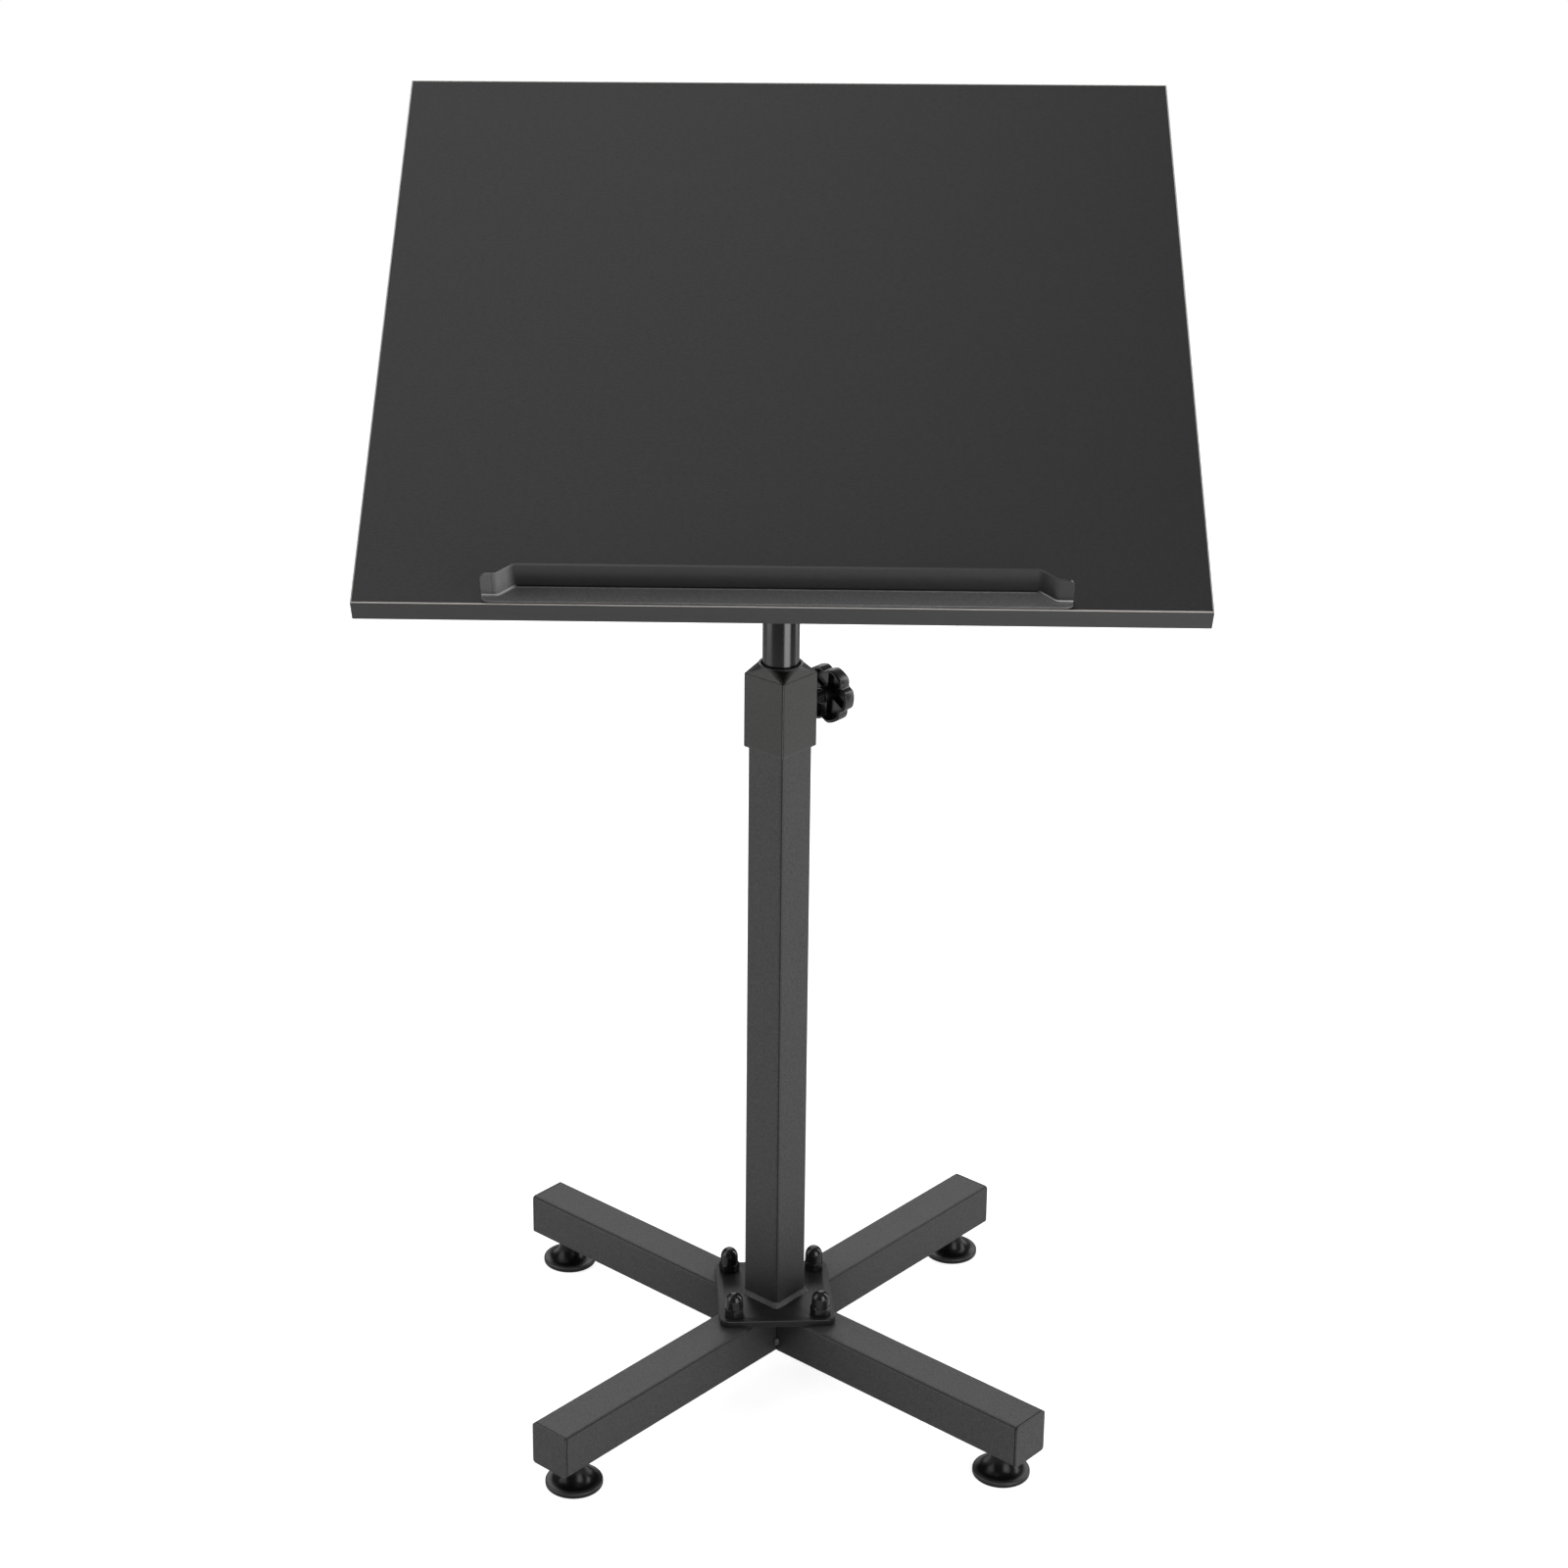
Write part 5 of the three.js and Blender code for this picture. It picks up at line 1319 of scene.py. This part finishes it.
class MUSIC_STAND_OT_book_stop(bpy.types.Operator):
    """Builds the bent book stop, its two studs and their nuts"""
    bl_idname = "music_stand.book_stop"
    bl_label = "Book stop"

    def execute(self, context):
        board = context.scene.music_stand.board
        sheet, bend, tip = board.sheet, board.bend, board.tip
        half, middle_x = (STOP_HIGH.x - STOP_LOW.x) / 2, (STOP_HIGH.x + STOP_LOW.x) / 2
        front = BAND_LOW.y
        seat = CORE_HIGH.z + mm(0.06)
        # Stations: even along the middle, close in the joggles, and along an arc at the tips.
        rounding = np.radians(np.linspace(0, 90, 9))
        outer = half - tip + tip * np.sin(rounding)
        jog = board.straight / 2 + board.jog * np.linspace(0, 1, 25)
        right = np.concatenate([np.linspace(0, board.straight / 2, 13)[:-1], jog, outer])
        x = np.concatenate([-right[:0:-1], right])
        # The lip's back keeps its setback along the middle and goes forward over each joggle: a
        # parabola, a line and a parabola over the share b, 1 - 2 b and b of the joggle. The upper
        # edge drops along a quarter circle at the tips.
        t, b = np.clip((np.abs(x) - board.straight / 2) / board.jog, 0, 1), 0.26
        share = np.where(t < b, t ** 2 / b / 2,
                         np.where(t > 1 - b, 1 - b - (1 - t) ** 2 / b / 2, t - b / 2)) / (1 - b)
        back = board.setback + (board.wing_setback - board.setback) * share
        past = np.clip((np.abs(x) - half + tip) / tip, 0, 1)
        drop = tip * (1 - np.sqrt(1 - past ** 2))
        lip = front + back - sheet / 2
        foot = front + mm(1.3) + 0.5 * drop
        top = STOP_HIGH.z - drop
        u = np.linspace(0, 1, 5)[:, None]
        foot_rows = (foot + u * (lip - bend - foot), np.full((5, len(x)), seat + sheet / 2))
        a = np.radians(np.linspace(-90, 0, 9))[1:, None]
        bend_rows = (lip - bend + bend * np.cos(a), seat + sheet / 2 + bend + bend * np.sin(a))
        rise = seat + sheet / 2 + bend
        v = np.array([0.06, 0.25, 0.5, 0.75, 0.94, 1])[:, None]
        lip_rows = (lip + 0 * v, rise + v * (top - rise))
        rows = (foot_rows, bend_rows, lip_rows)
        y = np.concatenate([np.broadcast_to(along, (len(up), len(x))) for along, up in rows])
        z = np.concatenate([np.broadcast_to(up, (len(up), len(x))) for along, up in rows])
        middle = np.stack([np.broadcast_to(x, y.shape), y, z], axis=-1)
        stand_piece("bent_book_stop", slab(middle, sheet), BOARD @ shift(middle_x), "powder_coat",
                    "book_stop", finish="stop_coat", edge=mm(0.3), sharp=45)
        stud_x = (STOP_STUD_LOW.x + STOP_STUD_HIGH.x) / 2
        stud_y = (STOP_STUD_LOW.y + STOP_STUD_HIGH.y) / 2
        low, high, radius = STOP_STUD_LOW.z, STOP_STUD_HIGH.z, mm(2)
        stud = [revolved((0, low), (radius - mm(0.4), low),
                         thread(radius, low + mm(0.3), high - mm(8), mm(0.7), columns=24),
                         (radius, high), (0, high), columns=24)]
        low, high, bore = STOP_NUT_LOW.z, STOP_NUT_HIGH.z, radius + mm(0.3)
        low_circle, low_cut = hex_end(mm(7), low, -1)
        high_circle, high_cut = hex_end(mm(7), high, 1)
        nut = [revolved((bore, low), low_circle, low_cut, high_cut, high_circle, (bore, high),
                        ring=True)]
        for side, here_x in zip(SIDES, (2 * middle_x - stud_x, stud_x)):
            here = BOARD @ shift(here_x, stud_y)
            stand_piece(f"stop_thread_{side}", stud, here, "zinc_steel", f"stop_stud_{side}")
            stand_piece(f"stop_hex_nut_{side}", nut, here, "zinc_steel", f"stop_nut_{side}",
                        sharp=25)
        return {"FINISHED"}


class MUSIC_STAND_OT_inner_finishes(bpy.types.Operator):
    """Gives the pieces that keep the frame's own shape their finishes"""
    bl_idname = "music_stand.inner_finishes"
    bl_label = "Inner pieces"

    def execute(self, context):
        inner = {"guide_bush": "guide_plastic", "mast_plug": "guide_plastic",
                 "mast_slider": "guide_plastic", "slider_screw": "zinc_steel", "clamp_pad": "brass"}
        inner.update({f"glide_nut_{corner}": "zinc_steel" for corner in CORNERS})
        for node, slot in inner.items():
            for material_slot in frame["nodes"][node].material_slots:
                material_slot.material = finish_of(slot)
        return {"FINISHED"}


# ---- Stage ----------------------------------------------------------------------------------

def softbox(name, position, target, width, height, power):
    """A rectangular area light that faces a target."""
    lamp = bpy.data.lights.new(name, "AREA")
    lamp.shape, lamp.size, lamp.size_y, lamp.energy = "RECTANGLE", width, height, power
    light = bpy.data.objects.new(name, lamp)
    light.location = position
    light.rotation_euler = (Vector(target) - Vector(position)).to_track_quat("-Z", "Y").to_euler()
    bpy.context.scene.collection.objects.link(light)
    return light


class MUSIC_STAND_OT_stage(bpy.types.Operator):
    """Builds the camera, the pale floor, the white backdrop and the soft lights"""
    bl_idname = "music_stand.stage"
    bl_label = "Stage"

    def execute(self, context):
        stage, scene = context.scene.music_stand.stage, context.scene
        scene.view_settings.view_transform = "Standard"
        camera = bpy.data.objects.new("camera", bpy.data.cameras.new("camera"))
        camera.location = (PIVOT.x + stage.camera_right, PIVOT.y - stage.camera_away,
                           stage.camera_height)
        camera.rotation_euler = (math.pi / 2 - stage.camera_down, 0, stage.camera_left)
        camera.data.lens = stage.lens
        camera.data.shift_x, camera.data.shift_y = stage.shift_x, stage.shift_y
        scene.collection.objects.link(camera)
        scene.camera = camera

        mesh = bpy.data.meshes.new("floor")
        points, faces = grid(np.stack(np.meshgrid(np.linspace(-6, 6, 3), np.linspace(-6, 6, 3),
                                                  [-mm(0.1)]), axis=-1).reshape(3, 3, 3))
        mesh.from_pydata(points.tolist(), [], faces)
        floor = bpy.data.objects.new("floor", mesh)
        scene.collection.objects.link(floor)
        paint = bpy.data.materials.new("floor")
        paint.use_nodes = True
        shader = Shader(paint.node_tree)
        seen = shader.add("ShaderNodeLightPath", {}, {}, "Is Camera Ray")
        away = shader.add("ShaderNodeVectorMath", {"operation": "LENGTH"}, {0: shader.place()},
                          "Value")
        pool = ((stage.pool - away) / 0.4).clipped()
        # Within 0.4 m of the stand a fifth of the floor's white comes from the lamps, which fades
        # to nothing at 0.9 m, so that the stand's shadow shows.
        shadow = ((0.9 - away) / 0.5).clipped()
        level = (1 - 0.2 * shadow) * seen + stage.sheen * pool * seen.beside("Is Glossy Ray")
        diffuse = shader.add("ShaderNodeBsdfDiffuse", {}, {"Color": (*stage.floor, 1)})
        glow = shader.add("ShaderNodeEmission", {}, {"Color": (1, 1, 1, 1), "Strength": level})
        lit = shader.add("ShaderNodeAddShader", {}, {0: diffuse, 1: glow})
        below = shader.add("ShaderNodeNewGeometry", {}, {}, "Backfacing")
        clear = shader.add("ShaderNodeBsdfTransparent")
        surface = shader.add("ShaderNodeMixShader", {}, {0: below, 1: lit, 2: clear})
        shader.add("ShaderNodeOutputMaterial", {}, {"Surface": surface})
        mesh.materials.append(paint)

        scene.world = bpy.data.worlds.new("backdrop")
        scene.world.use_nodes = True
        shader = Shader(scene.world.node_tree)
        seen = shader.add("ShaderNodeLightPath", {}, {}, "Is Camera Ray")
        glossy, through = seen.beside("Is Glossy Ray"), seen.beside("Is Transmission Ray")
        gloss = stage.backdrop - stage.ambient
        level = stage.ambient + (seen + through) * (1 - stage.ambient) + glossy * gloss
        background = shader.add("ShaderNodeBackground", {},
                                {"Color": (1, 1, 1, 1), "Strength": level})
        shader.add("ShaderNodeOutputWorld", {}, {"Surface": background})

        # Each light stands at degrees round the mast from the camera's side towards the right, and
        # looks at a height on the mast.
        for name, round_mast, away, height, aim, width, tall, power in (
                ("key", 39, 1.3, 0.6, 0.6, 0.85, 1.18, stage.key),
                ("right", 110, 1.5, 0.85, 0.5, 0.5, 1.6, stage.right),
                ("left", -78, 1.5, 0.85, 0.5, 1.2, 1.6, stage.left),
                ("back", 180, 2.3, 1.6, 0.4, 2.4, 1.0, stage.back),
                ("overhead", -140, 0.75, 2.4, 0.4, 2.2, 1.8, stage.overhead),
                ("front", 0, 0.6, 2.3, 0.7, 1.6, 0.9, stage.front)):
            a = math.radians(round_mast)
            position = (PIVOT.x + away * math.sin(a), PIVOT.y - away * math.cos(a), height)
            light = softbox(name, position, (PIVOT.x, PIVOT.y, aim), width, tall, power)
            light.visible_camera = False
        return {"FINISHED"}


# ---- Add-on ---------------------------------------------------------------------------------

OPERATORS = (MUSIC_STAND_OT_stage, MUSIC_STAND_OT_leg_tubes, MUSIC_STAND_OT_feet,
             MUSIC_STAND_OT_base_plate, MUSIC_STAND_OT_base_fasteners, MUSIC_STAND_OT_pole,
             MUSIC_STAND_OT_collar, MUSIC_STAND_OT_star_knobs, MUSIC_STAND_OT_mast,
             MUSIC_STAND_OT_tilt_head, MUSIC_STAND_OT_tilt_bracket, MUSIC_STAND_OT_board,
             MUSIC_STAND_OT_book_stop, MUSIC_STAND_OT_inner_finishes)


class MUSIC_STAND_PT_pieces(bpy.types.Panel):
    """Lists the operators that build the music stand"""
    bl_idname = "MUSIC_STAND_PT_pieces"
    bl_label = "Music stand"
    bl_space_type = "VIEW_3D"
    bl_region_type = "UI"
    bl_category = "Music stand"

    def draw(self, context):
        for operator in OPERATORS:
            self.layout.operator(operator.bl_idname)


CLASSES = (
    BaseSettings, ColumnSettings, BoardSettings, FinishSettings, StageSettings, MusicStandSettings,
    *OPERATORS, MUSIC_STAND_PT_pieces,
)


def register():
    """Adds the classes and the scene's settings."""
    for made in CLASSES:
        bpy.utils.register_class(made)
    bpy.types.Scene.music_stand = PointerProperty(type=MusicStandSettings)


def unregister():
    """Takes the settings and the classes away again."""
    del bpy.types.Scene.music_stand
    for made in reversed(CLASSES):
        bpy.utils.unregister_class(made)


def main():
    """Builds the stand and its stage."""
    register()
    for operator in OPERATORS:
        group, name = operator.bl_idname.split(".")
        getattr(getattr(bpy.ops, group), name)()


if __name__ == "__main__":
    main()
